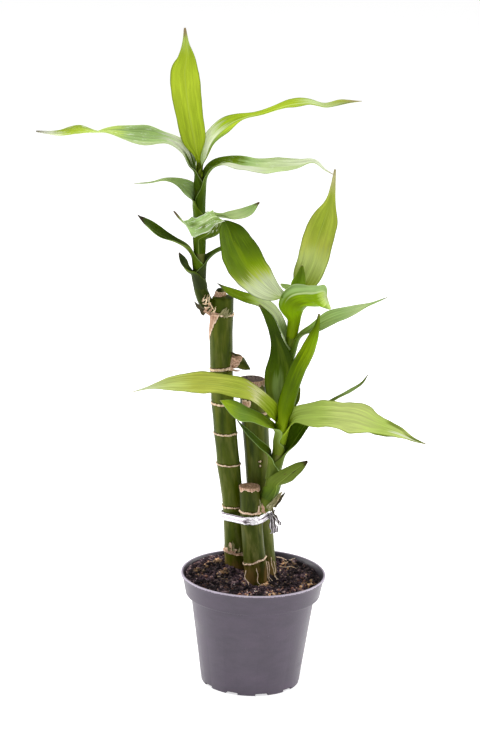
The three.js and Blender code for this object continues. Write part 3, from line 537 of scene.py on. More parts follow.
def ring_faces(count, sides, closed_ends=False):
    """Faces between rings of points one after another, each with the same number of sides."""
    faces = []
    for i in range(count - 1):
        for k in range(sides):
            a, b = i * sides + k, i * sides + (k + 1) % sides
            faces.append((a, b, b + sides, a + sides))
    if closed_ends:
        faces.append(tuple(reversed(range(sides))))
        faces.append(tuple(range((count - 1) * sides, count * sides)))
    return faces


def lengths_along(rows):
    """Length along a line of rows up to each of its rows."""
    reach = [0.0]
    for a, b in zip(rows, rows[1:]):
        reach.append(reach[-1] + math.dist(a[:3], b[:3]))
    return reach


def smooth_rows(rows, step, straight=0):
    """Smooth line through rows of numbers, whose first three are a point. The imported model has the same."""
    reach = lengths_along(rows)
    last = len(rows) - 1
    slopes = []
    for i, row in enumerate(rows):
        slope = []
        for c, value in enumerate(row):
            before = (value - rows[i - 1][c]) / (reach[i] - reach[i - 1]) if i > 0 else None
            after = (rows[i + 1][c] - value) / (reach[i + 1] - reach[i]) if i < last else None
            if before is None:
                slope.append(after)
            elif after is None or i == straight:
                slope.append(before)
            else:
                near, far = reach[i] - reach[i - 1], reach[i + 1] - reach[i]
                slope.append((before * far + after * near) / (near + far))
        slopes.append(slope)
    out = [list(rows[0])]
    for i in range(last):
        span = reach[i + 1] - reach[i]
        pieces = max(1, round(span / step))
        for k in range(1, pieces + 1):
            t = k / pieces
            from_start, from_end = 2 * t ** 3 - 3 * t ** 2 + 1, 3 * t ** 2 - 2 * t ** 3
            leaving, arriving = t ** 3 - 2 * t ** 2 + t, t ** 3 - t ** 2
            row = []
            for a, slope_a, b, slope_b in zip(rows[i], slopes[i], rows[i + 1], slopes[i + 1]):
                row.append(a * from_start + slope_a * span * leaving
                           + b * from_end + slope_b * span * arriving)
            out.append(row)
    return out


def row_at(rows, key, height):
    """Row of a line at a height, where the line's column key rises steadily."""
    found = next((i for i, row in enumerate(rows) if row[key] >= height), len(rows) - 1)
    a, b = rows[max(1, found) - 1], rows[max(1, found)]
    t = (height - a[key]) / (b[key] - a[key])
    return [value + (b[c] - value) * t for c, value in enumerate(a)]


def direction_at(points, i):
    """Direction of a line of points at one of them."""
    return (points[min(i + 1, len(points) - 1)] - points[max(i - 1, 0)]).normalized()


def square_to(vector, along):
    """vector without its part along a direction, one long."""
    return (vector - along * vector.dot(along)).normalized()


def tube(rows, sides, rough, grain):
    """Points, faces and grain of a rod along rows of x, y, z and radius, uneven by a share of its radius."""
    points = [Vector(row[:3]) for row in rows]
    reach = lengths_along(rows)
    places, values = [], []
    for i, row in enumerate(rows):
        along = direction_at(points, i)
        across = square_to(Vector((0, 1, 0)), along)
        third = along.cross(across)
        for turn in turns(sides):
            way = across * math.cos(turn) + third * math.sin(turn)
            uneven = 1 + rough * noise.noise((points[i] + way * row[3]) / (grain * 8))
            places.append(points[i] + way * row[3] * uneven)
            values.append((row[3] * math.cos(turn), row[3] * math.sin(turn), reach[i]))
    return places, ring_faces(len(rows), sides, closed_ends=True), values


def join(parts):
    """One list of points, faces and values from several."""
    places, faces, values = [], [], []
    for more_places, more_faces, more_values in parts:
        start = len(places)
        places += more_places
        faces += [tuple(start + corner for corner in face) for face in more_faces]
        values += more_values
    return places, faces, values


# Camera, floor and light

def add_camera():
    camera = add_object("camera", bpy.data.cameras.new("camera"))
    pitch, roll = math.radians(VIEW_PITCH), math.radians(VIEW_ROLL)
    forward = Vector((0, math.cos(pitch), -math.sin(pitch)))
    right = Vector((1, 0, 0))
    up = right.cross(forward)
    turned_right = right * math.cos(roll) + up * math.sin(roll)
    turned_up = up * math.cos(roll) - right * math.sin(roll)
    turn = Matrix((turned_right, turned_up, -forward)).transposed()
    camera.matrix_world = Matrix.Translation(VIEW_FROM * MM) @ turn.to_4x4()
    camera.data.sensor_width = SENSOR
    camera.data.lens = VIEW_LENS
    camera.data.clip_end = VIEW_REACH
    bpy.context.scene.camera = camera


def add_floor():
    corners = [(-FLOOR_REACH, -FLOOR_REACH, 0), (FLOOR_REACH, -FLOOR_REACH, 0),
               (FLOOR_REACH, FLOOR_REACH, 0), (-FLOOR_REACH, FLOOR_REACH, 0)]
    mesh = bpy.data.meshes.new("floor")
    mesh.from_pydata(corners, [], [(0, 1, 2, 3)])
    look = Shader("floor")
    soft = look.noise(look.add("ShaderNodeNewGeometry", {}).outputs["Position"], 3.0)
    white = srgb((255, 255, 255))
    colour = look.mix(soft, srgb((250, 250, 250)), white)
    mesh.materials.append(look.finish(colour, 0.9, Emission_Color=white, Emission_Strength=FLOOR_GLOW))
    floor = add_object("floor", mesh)


def add_lights():
    for name, (place, size, power) in LIGHTS.items():
        light = add_object(name, bpy.data.lights.new(name, "AREA"))
        light.data.size = size
        light.data.energy = power
        light.location = place
        light.rotation_euler = (LIGHT_AIM - Vector(place)).to_track_quat("-Z", "Y").to_euler()
    bpy.context.scene.view_settings.view_transform = "Standard"
    world = bpy.data.worlds.new("world")
    world.use_nodes = True
    sky = world.node_tree.nodes["Background"]
    sky.inputs["Color"].default_value = (1, 1, 1, 1)
    sky.inputs["Strength"].default_value = WORLD_STRENGTH
    bpy.context.scene.world = world


# Leaves

def leaf_material(name, look):
    """Leaf: colours along the blade, some of them painted sheen and shade, lengthwise veins, a pale or olive
    margin and a dried tip.
    """
    mat = Shader("leaf_" + name)
    grain = mat.grain()
    across = mat.attribute("across")
    away = mat.math("ABSOLUTE", across)
    strength = look.get("streak", 1.0)
    veins = mat.fibres(grain, (1.5, 0.02, 1.0), 4.0, 0.6)
    broad = mat.fibres(grain, (0.4, 0.05, 1.0))
    place = mat.plus(mat.attribute("along"), mat.sway(veins, -0.03 * strength, 0.03 * strength))
    place = mat.plus(place, mat.sway(broad, -0.02, 0.02))
    place = mat.plus(place, mat.times(across, look.get("skew", 0.0)))
    # Colours along the blade; on some leaves the palest stops are painted sheen
    above = mat.ramp(place, look.get("left", look.get("blade")))
    # The other half of a folded blade; where the halves differ, one holds painted shade and the other painted
    # sheen
    if "right" in look:
        split = look.get("split", 0.0)
        half = mat.span(across, split - 0.05, split + 0.05)
        above = mat.mix(half, above, mat.ramp(place, look["right"]))
    if "lower" in look:
        below = mat.ramp(place, look["lower"])
    else:
        below = mat.cover(above, look.get("dull", 0.1), (122, 136, 88))
    colour = mat.mix(mat.attribute("face"), below, above)
    # Patches: real spots and stains, and on some leaves pale painted sheen
    for reach, side, half_length, half_width, tint, share in look.get("patches", ()):
        far = mat.times(mat.minus(place, reach), 1 / half_length)
        wide = mat.times(mat.minus(across, side), 1 / half_width)
        off = mat.plus(mat.times(far, far), mat.times(wide, wide))
        colour = mat.cover(colour, mat.span(off, 0.3, 1.3, share, 0.0), tint)
    if "glint" in look:
        crinkle = mat.fibres(grain, (1.1, 0.22, 1.0), 4.0, 0.7)
        glint = mat.times(mat.span(crinkle, 0.56, 0.66), mat.span(place, 0.2, 0.34, 0.0, look["glint"]))
        colour = mat.cover(colour, glint, "white")
    if "centre" in look:
        centre = mat.times(mat.span(away, 0.0, 0.3, 1.0, 0.0), 0.7)
        colour = mat.cover(colour, centre, look["centre"])
    colour = mat.tone(colour, mat.span(veins, 0.28, 0.72, 1 - 0.13 * strength, 1 + 0.13 * strength))
    colour = mat.tone(colour, mat.sway(broad, 0.88, 1.12))
    rib = mat.span(away, 0.0, 0.06, look.get("ribbed", 0.28), 0.0)
    colour = mat.cover(colour, rib, look.get("rib", "apple"))
    # The margin; a pale one is partly a painted highlight where the edge catches light
    ragged = mat.plus(away, mat.sway(veins, -0.04, 0.04))
    colour = mat.cover(colour, mat.span(ragged, 0.9, 0.99, 0.0, 0.7), look.get("edge", "olive"))
    start, dry = look.get("tip", (0.97, "dry"))
    colour = mat.cover(colour, mat.span(place, start, start + 0.05), dry)
    specks = mat.noise(grain, 1.3, 2.0)
    colour = mat.cover(colour, mat.span(specks, 0.72, 0.78, 0.0, 0.35), "dry")
    roughness = mat.sway(broad, 0.4, 0.54)
    height = mat.plus(veins, mat.times(specks, 0.15))
    return mat.finish(colour, roughness, height, depth=0.26, Specular_IOR_Level=0.07)


def sheath_rows(low, high, outward, stem):
    """Rows of a leaf's sheath. It goes nearly all round its stem at first, then opens on one side."""
    steps = max(1, round((high - low) / SHEATH_STEP))
    rows = []
    for i in range(steps + 1):
        height = low + (high - low) * i / steps
        x, y, z, r = row_at(stem, 2, height)
        ahead = row_at(stem, 2, height + 1)
        along = Vector((ahead[0] - x, ahead[1] - y, ahead[2] - z)).normalized()
        off = square_to(outward, along)
        opened = (i / steps) ** 1.5
        radius = r + opened * (GAP + CAD_THICKNESS / 2) + (1 - opened) * SHEATH_SUNK
        angle = SHEATH_ROUND + opened * (SHEATH_ANGLE - SHEATH_ROUND)
        middle = Vector((x, y, z)) + off * radius
        rows.append([*middle, radius * math.radians(angle), 0, angle])
    return rows


def blunt_end(share, width):
    """Share of a wide leaf's width that is left near its end, so that it ends round."""
    part = max(0.0, (share - 0.9) / 0.1)
    return 1.0 if width < BLUNT_WIDTH else math.sqrt(max(0.0, 1 - part ** 2.6))


def blade_mesh(rows, sideways, number, ripple=WAVE_HEIGHT, thickness=BLADE_THICKNESS):
    """Thin blade along rows of x, y, z, half width, roll and half angle of its channel."""
    points = [Vector(row[:3]) for row in rows]
    reach = lengths_along(rows)
    widest = max(row[3] for row in rows)
    sides = 2 * STRIPS + 2
    places = []
    values = {"along": [], "across": [], "face": [], "grain": []}
    for i, (_, _, _, width, roll, angle) in enumerate(rows):
        along = direction_at(points, i)
        across = Matrix.Rotation(math.radians(roll), 3, along) @ square_to(sideways, along)
        inward = along.cross(across)
        share = reach[i] / reach[-1]
        half = max(width * BLADE_WIDENING * blunt_end(share, rows[-1][3]), TIP_HALF_WIDTH)
        thin = min(1.0, half / 2)
        cup = math.radians(angle)
        swell = ripple * half * math.sin(math.pi * share) ** 2
        phase = 2 * math.pi * reach[i] / WAVE_LENGTH + number * 1.7
        lower, upper = [], []
        for k in range(STRIPS + 1):
            s = 2 * k / STRIPS - 1
            turn = cup * s
            normal = inward * math.cos(turn) - across * math.sin(turn)
            wave = swell * s * s * math.sin(phase + (2.1 if s > 0 else 0))
            wave += 0.028 * half * waver(s * 2.2, reach[i] / 7, number * 3.1)
            torn = 1.2 * ripple * share ** 1.5 * s * s * waver(reach[i] / 6, number * 3 + (s > 0), 7)
            middle = points[i] + across * (half / cup) * math.sin(turn) * (1 + torn)
            middle += inward * (half / cup * (1 - math.cos(turn)) + wave)
            thick = thin * (EDGE_THICKNESS + (thickness / 2 - EDGE_THICKNESS) * (1 - s ** 4))
            rib = thin * RIB_HEIGHT * math.exp(-(s / RIB_SPREAD) ** 2)
            lower.append((middle - normal * (thick + rib), s, 0.0))
            upper.append((middle + normal * (thick - 0.5 * rib), s, 1.0))
        for place, s, face in [*lower, *reversed(upper)]:
            places.append(place)
            values["along"].append(share)
            values["across"].append(s)
            values["face"].append(face)
            values["grain"].append((s * widest, reach[i], number * 17.3))
    faces = ring_faces(len(rows), sides)
    for start in (0, (len(rows) - 1) * sides):
        for k in range(STRIPS):
            faces.append((start + k, start + k + 1, start + sides - 2 - k, start + sides - 1 - k))
    return places, faces, values


def add_leaves():
    for shoot, leaves in LEAVES.items():
        stem = smooth_rows(SHOOTS[shoot], SHOOT_STEP)
        for number, (side, low, high, rows) in enumerate(leaves, 1):
            turn = math.radians(side)
            outward = Vector((math.cos(turn), math.sin(turn), 0))
            sideways = Vector((-math.sin(turn), math.cos(turn), 0))
            sheath = sheath_rows(low, high, outward, stem)
            blade = [[*row, BLADE_CUP][:6] for row in rows]
            for row, (wider, deeper) in zip(blade, PETIOLE):
                row[3] *= wider
                row[5] += deeper
            line = smooth_rows([*sheath, *blade], BLADE_STEP, len(sheath) - 1)
            name = f"{shoot}_{number}"
            places, faces, values = blade_mesh(line, sideways, number, RIPPLES.get(name, WAVE_HEIGHT))
            mesh_piece("leaf_fine_" + name, places, faces, leaf_material(name, LOOKS[name]),
                       "leaf_" + name, values)


# Canes and shoots

# Dark, middle and light green of the skin of each cane and of each shoot
CANE_TINTS = {
    "tall": ((46, 56, 4), (66, 77, 12), (94, 99, 34)),
    "middle": ((46, 57, 12), (76, 86, 30), (118, 118, 66)),
    "short": ((42, 50, 8), (60, 69, 18), (88, 91, 42)),
}
SHOOT_TINTS = {
    "tall": ((44, 54, 12), (60, 72, 22), (82, 94, 42)),
    "middle": ((70, 88, 14), (96, 116, 26), (126, 144, 56)),
    "short": ((74, 88, 26), (94, 108, 40), (116, 130, 60)),
}

# Dark, middle and light brown of the cut wood of each cane
CUT_WOOD = {
    "tall": ((70, 54, 44), (140, 112, 88), (196, 166, 136)),
    "middle": ((44, 40, 42), (78, 68, 66), (142, 122, 110)),
    "short": ((84, 58, 44), (150, 116, 94), (218, 188, 160)),
}

# Small growths: rows, the way in which each ends, how far along it the dry end starts, and its greens
GROWTHS = {
    "stub": (STUB, Vector((1, 0, -0.6)), -135.4, ((40, 46, 12), (64, 70, 22), (96, 94, 48))),
    "dried_end": (DRIED_END, Vector((0, 0, 1)), 249.4, ((34, 38, 14), (52, 54, 24), (84, 80, 46))),
}

# Patches of dried sheath left on the canes: lowest and highest point, then the compass angles of their left
# edge and of their right edge at those two heights
PATCHES = {
    "tall": [(218.5, 236, 150, 150, 190, 258), (82, 85, 170, 170, 262, 290), (85, 89, 236, 242, 260, 250),
             (200.6, 208.5, 306, 346, 384, 376)],
    "middle": [(171, 181, 210, 214, 240, 262), (141.9, 142.8, 276, 276, 290, 290),
               (139, 139.8, 276, 276, 286, 286)],
    "short": [(112.4, 117.5, 304, 316, 372, 350)],
}

# How far the dried tan skin reaches down from each cane's cut top, in mm
TOP_BAND = {"tall": 0.0, "middle": 2.6, "short": 1.9}


def cane_material(name, tint, wood=CUT_WOOD["tall"], rust=0.0):
    """Cane skin: soft vertical streaks, pale flecks, painted sheen low down, papery scars edged with a
    painted shadow line, and fibrous cut ends.
    """
    mat = Shader(name)
    grain = mat.grain()
    scar = mat.attribute("scar")
    streak = mat.fibres(grain, (0.16, 0.16, 0.03))
    colour = mat.ramp(streak, list(zip((0.3, 0.5, 0.72), tint)))
    fine = mat.fibres(grain, (2.2, 2.2, 0.14))
    colour = mat.tone(colour, mat.sway(fine, 0.93, 1.07))
    blotch = mat.fibres(grain, (0.2, 0.2, 0.05), 4.0, 0.6)
    height = mat.add("ShaderNodeSeparateXYZ", {0: grain}).outputs["Z"]
    # Painted sheen: pale grey-olive blotches, more of them low on the cane, stand in for light caught on its
    # lower part
    painted_sheen = mat.times(mat.span(blotch, 0.46, 0.66), mat.span(height, 92, 128, 0.6, 0.3))
    colour = mat.cover(colour, painted_sheen, (112, 112, 62))
    foot = mat.times(mat.span(height, 72, 84, 1.0, 0.0), mat.span(blotch, 0.4, 0.6, 0.2 * rust, rust))
    colour = mat.cover(colour, foot, (126, 92, 56))
    scratch = mat.fibres(grain, (0.8, 0.8, 2.4), 5.0, 0.7)
    colour = mat.cover(colour, mat.span(scratch, 0.69, 0.73, 0.0, 0.5), (150, 140, 104))
    frayed = mat.fibres(grain, (1.6, 1.6, 0.22), 4.0, 0.65)
    rough_scar = mat.plus(scar, mat.sway(frayed, -0.16, 0.16))
    ring = mat.span(rough_scar, 0.4, 0.56)
    paper = mat.ramp(frayed, [(0.34, (120, 88, 70)), (0.47, (170, 134, 112)), (0.6, (206, 174, 150))])
    rim = mat.ramp(frayed, [(0.34, (176, 140, 112)), (0.5, (218, 188, 160)), (0.62, (240, 220, 198))])
    tan = mat.mix(mat.span(rough_scar, 0.8, 1.0), rim, paper)
    # Painted shadow: a dark brown line along the edges of each scar, over and under its tan band
    scar_shadow = mat.times(mat.span(scar, 0.08, 0.3), mat.span(scar, 0.36, 0.52, 1.0, 0.0))
    colour = mat.cover(colour, mat.times(scar_shadow, 0.7), (62, 40, 22))
    colour = mat.mix(ring, colour, tan)
    fibre = mat.fibres(grain, (0.7, 2.0, 0.8), 5.0, 0.75)
    ends = mat.ramp(fibre, list(zip((0.36, 0.5, 0.62), wood)))
    colour = mat.mix(mat.span(mat.attribute("cut"), 0.4, 0.6), colour, ends)
    roughness = mat.span(ring, 0.0, 1.0, 0.4, 0.8)
    rough = mat.times(frayed, mat.span(ring, 0.0, 1.0, 0.1, 1.3))
    bumps = mat.plus(mat.times(fine, 0.35), rough)
    return mat.finish(colour, roughness, bumps, depth=0.3, Specular_IOR_Level=0.1)


def patch_share(patch, turn, z, seed):
    """How far inside a patch of dried sheath a point is, over 1 well inside it and under 0 outside."""
    low, high, left_low, left_high, right_low, right_high = patch
    t = (z - low) / (high - low)
    ragged = waver(turn / 5, z / 3, seed)
    left = left_low + (left_high - left_low) * t - 4 * ragged
    right = right_low + (right_high - right_low) * t + 5 * ragged
    return min((turn - left) / 6, (right - turn) / 6, (z - low) / 0.8 + ragged, (high - z) / 0.8 + ragged)


def cane_skin(name, number, radius, way, turn, z):
    """Radius of a cane's skin, and how far it is scarred, at a way from its middle and a height."""
    out, scar = radius, 0.0
    for at, rise, band, slope in RINGS[name]:
        ragged = waver(way.x * 2.2, way.y * 2.2, at)
        fine = waver(way.x * 9, way.y * 9, at * 1.7)
        off = z - (at + slope * radius * way.x + 0.45 * ragged + 0.2 * fine)
        step = STEP_OVER if off > 0 else STEP_UNDER
        out += rise * (0.8 + 0.4 * fine) * math.exp(-(off / step) ** 2)
        out += 0.3 * rise * math.exp(-(off / SWELLING) ** 2)
        out -= GROOVE["depth"] * math.exp(-((off - GROOVE["place"]) / GROOVE["spread"]) ** 2)
        scar = max(scar, math.exp(-(off / (1.15 * band)) ** 2) * (0.82 + 0.14 * ragged))
    out += 0.16 * waver(way.x * 1.6, way.y * 1.6, z / 11 + number * 9)
    for patch in PATCHES[name]:
        share = max(patch_share(patch, math.degrees(turn) + lap, z, number) for lap in (0, 360))
        scar = max(scar, min(1.1, 0.46 + 0.4 * share))
        out += 0.3 * min(1.0, max(0.0, share))
    band = TOP_BAND[name] * (1 + 1.3 * waver(way.x * 2.6, way.y * 2.6, number))
    from_top = (CANES[name][-1][0] - z) / max(band, 0.01)
    if from_top < 1 and band > 0:
        scar = max(scar, 1.15 - 0.6 * max(0.0, from_top) ** 4)
        out += 0.2 * waver(way.x * 7, way.y * 7, z / 1.2)
    return out, scar


def cane_rings(name):
    """Rings of a cane from its foot up and over its top: x, y, radius, height and whether it is cut wood."""
    line = CANES[name]
    foot, top = line[0][0], line[-1][0]
    buried = int((SOIL_LEVEL - BURIED_CLEARANCE - foot) / BURIED_STEP)
    levels = [foot + BURIED_STEP * i for i in range(buried)]
    while levels[-1] < top - CANE_STEP:
        levels.append(levels[-1] + CANE_STEP)
    rings = []
    for z in [*levels, top]:
        _, x, y, r = row_at(line, 0, z)
        rings.append((x, y, r, z, 0.0))
    _, x, y, r = line[-1]
    for i in range(1, END_RINGS + 1):
        share = 1 - i / (END_RINGS + 0.5)
        if TOP_BAND[name]:
            sunk = 0.25 * (i == 1) - 0.5 * math.sin(math.pi * min(1, i / 4) / 2)
            rings.append((x, y, r * share, top + sunk, 1.0))
        else:
            radius = r * math.cos(math.pi / 2 * (1 - share)) ** 0.7
            rings.append((x, y, radius, top + 2.2 * (1 - share) ** 0.8, 0.0))
    return rings


def add_cane(name, number):
    """Cane: a fine turned rod, bent along its line, with ragged rings and a cut or closed top."""
    places = []
    values = {"grain": [], "scar": [], "cut": []}
    rings = cane_rings(name)
    for x, y, radius, z, cut in rings:
        for turn in turns(CANE_SIDES):
            way = Vector((math.cos(turn), math.sin(turn), 0))
            out, scar = cane_skin(name, number, radius, way, turn, z)
            places.append((x + out * way.x, y + out * way.y, z))
            values["grain"].append((out * way.x + number * 31, out * way.y, z))
            values["scar"].append(scar)
            values["cut"].append(cut)
    faces = ring_faces(len(rings), CANE_SIDES, closed_ends=True)
    material = cane_material("cane_" + name, CANE_TINTS[name], CUT_WOOD[name], rust=0.6)
    mesh_piece("cane_fine_" + name, places, faces, material, "cane_" + name, values)


def add_shoots():
    for name, rows in SHOOTS.items():
        places, faces, grains = tube(smooth_rows(rows, SHOOT_FINE_STEP), SHOOT_SIDES, rough=0.03, grain=0.5)
        unmarked = [0.0] * len(places)
        mesh_piece("shoot_fine_" + name, places, faces, cane_material("shoot_" + name, SHOOT_TINTS[name]),
                   "cane_" + name, {"grain": grains, "scar": unmarked, "cut": unmarked})


def add_growths():
    for name, (rows, way, limit, tint) in GROWTHS.items():
        places, faces, grains = tube(smooth_rows(rows, GROWTH_STEP), GROWTH_SIDES, rough=0.14, grain=0.3)
        scars = []
        for place in places:
            past = Vector(place).dot(way) - limit + 0.8 * noise.noise(Vector(place) / 1.4)
            scars.append(min(1.15, max(0.0, 0.6 - past / 0.8)))
        grains = [(length * 0.4, y, x) for x, y, length in grains]
        mesh_piece(name + "_fine", places, faces, cane_material(name, tint), "cane_tall",
                   {"grain": grains, "scar": scars, "cut": [0.0] * len(places)})


# Pot

def turned(profile, sides):
    """Points and faces of a turned solid from a profile of radius and height, closed on the axis."""
    places = []
    for radius, z in profile:
        places += [(radius * math.cos(turn), radius * math.sin(turn), z) for turn in turns(sides)]
    return places, ring_faces(len(profile), sides, closed_ends=True)


def pot_material():
    """Satin grey plastic with faint mottling and fine scuffs, a pale painted highlight on the rim's lip,
    painted shade inside the collar and a painted shadow under its step.
    """
    mat = Shader("pot")
    grain = mat.place()
    broad = mat.fibres(grain, (0.05, 0.05, 0.12), 4.0, 0.6)
    colour = mat.ramp(broad, [(0.3, (62, 54, 67)), (0.5, (69, 60, 74)), (0.7, (76, 66, 81))])
    fine = mat.noise(grain, 1.6, 3.0, 0.7)
    colour = mat.tone(colour, mat.sway(fine, 0.95, 1.05))
    scuff = mat.fibres(grain, (0.9, 0.9, 0.08), 5.0, 0.75)
    colour = mat.cover(colour, mat.span(scuff, 0.66, 0.74, 0.0, 0.2), (136, 128, 138))
    x, y, height = mat.add("ShaderNodeSeparateXYZ", {0: grain}).outputs
    radius = mat.math("SQRT", mat.plus(mat.times(x, x), mat.times(y, y)))
    # Painted shade: the inside of the wall above the collar's step is darkened as if in the pot's shadow
    middle = mat.span(height, STEP_HEIGHT, POT_HEIGHT, COLLAR_BOTTOM_RADIUS - 0.75, RIM_RADIUS - 1.4)
    inside = mat.span(mat.minus(radius, middle), -0.3, 0.0, 0.85, 0.0)
    inside = mat.times(inside, mat.span(height, STEP_HEIGHT + 0.2, STEP_HEIGHT + 1.0))
    colour = mat.cover(colour, inside, (44, 37, 46))
    # Painted highlight: a pale line on the rounded top of the rim, ragged by the scuff noise, where light
    # catches it
    ragged_height = mat.plus(height, mat.sway(scuff, -0.25, 0.25))
    lip = mat.times(mat.span(ragged_height, POT_HEIGHT - 1.1, POT_HEIGHT - 0.5), 0.85)
    lip = mat.times(lip, mat.span(radius, INNER_RIM + 0.1, INNER_RIM + 0.4))
    colour = mat.cover(colour, lip, (188, 178, 194))
    # Painted shadow: a dark band on the body just under the collar's step
    above = mat.span(height, STEP_HEIGHT - 1.6, STEP_HEIGHT - 0.8)
    under = mat.times(above, mat.span(height, STEP_HEIGHT - 0.2, STEP_HEIGHT, 1.0, 0.0))
    colour = mat.cover(colour, mat.times(under, 0.5), (50, 44, 54))
    roughness = mat.sway(broad, 0.34, 0.46)
    bumps = mat.plus(mat.times(fine, 0.5), scuff)
    return mat.finish(colour, roughness, bumps, depth=0.05, Specular_IOR_Level=0.55)


def add_pot():
    """Turned pot with its stepped collar and lip, and drain notches cut out of its foot."""
    outer = [
        (AXIS_RADIUS, 0), (BASE_RADIUS - 0.6, 0), (BASE_RADIUS - 0.15, 0.15), (BASE_RADIUS + 0.06, 0.6),
        (BODY_TOP_RADIUS - 0.2, STEP_HEIGHT - 4.0 * RIM_ROUND),
        (BODY_TOP_RADIUS - 0.1, STEP_HEIGHT - 3.0 * RIM_ROUND),
        (BODY_TOP_RADIUS + 0.4, STEP_HEIGHT - 1.8 * RIM_ROUND),
        (COLLAR_BOTTOM_RADIUS - 0.9, STEP_HEIGHT - 0.7), (COLLAR_BOTTOM_RADIUS - 0.3, STEP_HEIGHT - 0.45),
        (COLLAR_BOTTOM_RADIUS, STEP_HEIGHT), (COLLAR_BOTTOM_RADIUS + 0.05, STEP_HEIGHT + 0.5),
        (RIM_RADIUS - 1.05, LIP_BOTTOM - 0.5), (RIM_RADIUS - 0.95, LIP_BOTTOM),
        (RIM_RADIUS - 0.2, LIP_BOTTOM + 0.25), (RIM_RADIUS, LIP_BOTTOM + 0.7),
        (RIM_RADIUS, POT_HEIGHT - 0.6), (RIM_RADIUS - 0.15, POT_HEIGHT - 0.18),
        (RIM_RADIUS - 0.5, POT_HEIGHT),
    ]
    profile = [*outer, *reversed(INNER_WALL), (AXIS_RADIUS, FLOOR_THICKNESS)]
    places, faces = turned(profile, POT_SIDES)
    piece = mesh_piece("pot_fine", places, faces, pot_material(), "pot")
    cutters = bmesh.new()
    out = Matrix.Translation((BASE_RADIUS * MM, 0, 0))
    size = Matrix.Diagonal((NOTCH_DEPTH * MM, NOTCH_WIDTH * MM, 2 * NOTCH_HEIGHT * MM, 1))
    for i in range(NOTCH_COUNT):
        turn = Matrix.Rotation(math.radians(NOTCH_TURN + 360 * i / NOTCH_COUNT), 4, "Z")
        bmesh.ops.create_cube(cutters, size=1, matrix=turn @ out @ size)
    mesh = bpy.data.meshes.new("notches")
    cutters.to_mesh(mesh)
    cutters.free()
    cutter = add_object("notches", mesh)
    modifier = piece.modifiers.new("notches", "BOOLEAN")
    modifier.operation = "DIFFERENCE"
    modifier.solver = "EXACT"
    modifier.object = cutter
    cut = bpy.data.meshes.new_from_object(piece.evaluated_get(bpy.context.evaluated_depsgraph_get()))
    piece.modifiers.clear()
    piece.data = cut
    bpy.data.objects.remove(cutter)
    cut.polygons.foreach_set("use_smooth", [True] * len(cut.polygons))
    cut.set_sharp_from_angle(angle=math.radians(SHARP_ANGLE))


# Soil

SOIL_EDGE = row_at(INNER_WALL, 1, SOIL_LEVEL)[0] - GAP

# Hollow in front of the short cane
HOLLOW = {"x": 0.0, "y": -10.5, "depth": 1.8, "spread": 4.5}

# Small heaps in front of the tall cane and against the pot: middle, height and spread
HEAPS = [(-14.0, 1.5, 2.0, 6.5), (33.0, 24.0, 1.6, 15.0)]

# Lumps of the surface, from broad to fine: height, spread and where each noise starts
LUMPS = [(1.5, 4.2, Vector((0, 0, 0))), (1.1, 1.9, Vector((7, 0, 0))), (0.5, 0.8, Vector((0, 9, 0)))]

# Clumps of pale crumbs: middle and spread
CLUMPS = [(-33.5, 3.0, 2.2), (-19.5, -4.0, 2.0), (35.0, -9.0, 2.6), (9.0, -12.0, 3.0), (22.0, 22.0, 5.0),
          (-24.0, 14.0, 4.0), (10.0, -30.0, 6.0)]
CLUMPED_SHARE = 0.65
CLUMPED_GROWTH = 1.35

# Crumbs: how many, their least and greatest size in mm, how flat they are, and their colours
CRUMB_KINDS = {
    "crumbs_dark": (770, (0.6, 1.7), 0.7, [(0.34, (30, 26, 30)), (0.5, (54, 44, 50)), (0.64, (100, 84, 88))]),
    "crumbs_brown": (350, (0.4, 1.3), 0.6,
                     [(0.34, (74, 50, 46)), (0.5, (128, 90, 80)), (0.64, (192, 148, 126))]),
    "crumbs_tan": (280, (0.4, 1.1), 0.6,
                   [(0.34, (178, 128, 88)), (0.5, (220, 176, 132)), (0.64, (250, 228, 200))]),
    "perlite": (60, (0.25, 0.6), 0.8, [(0.3, (214, 208, 204)), (0.6, (246, 242, 240))]),
}
CRUMB_SEED = 11

# Share of a crumb's size by which its middle stands over the soil, and its least way from the soil's edge
CRUMB_RISE = 0.35
CRUMB_CLEARANCE = 1.6

DARK_SOIL = [(0.38, (34, 27, 36)), (0.48, (64, 51, 60)), (0.56, (122, 100, 104)), (0.63, (200, 174, 166))]


def soil_rise(x, y):
    """How far the soil stands over its level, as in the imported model."""
    bank = max(BANK_LOWEST, BANK_SLOPE * (y - x))
    away = math.hypot(x - MOUND["x"], y - MOUND["y"]) / MOUND["spread"]
    mound = MOUND["height"] * math.exp(-away ** 2)
    broad = 0.6 * math.sin(x * 0.31 + 1.3) * math.cos(y * 0.27)
    fine = 0.4 * math.sin(x * 0.13 - y * 0.21) * math.sin(y * 0.47)
    return bank + mound + broad + fine


def soil_height(x, y):
    """Height of the soil's surface, with its heaps, its crumbs and the hollow in front of the short cane."""
    rise = soil_rise(x, y)
    for heap_x, heap_y, height, spread in HEAPS:
        rise += height * math.exp(-(math.hypot(x - heap_x, y - heap_y) / spread) ** 2)
    inside = min(1.0, max(0.0, (SOIL_EDGE - math.hypot(x, y)) / SOIL_EDGE_BAND))
    held = min(rise, SOIL_EDGE_RISE + 8 * inside) if rise > 0 else rise * inside
    away = math.hypot(x - HOLLOW["x"], y - HOLLOW["y"]) / HOLLOW["spread"]
    held -= HOLLOW["depth"] * math.exp(-away ** 2)
    spot = Vector((x, y, 0))
    lumps = sum(height * noise.noise(spot / spread + shift) for height, spread, shift in LUMPS)
    return SOIL_LEVEL + held + lumps * (0.35 + 0.65 * inside)


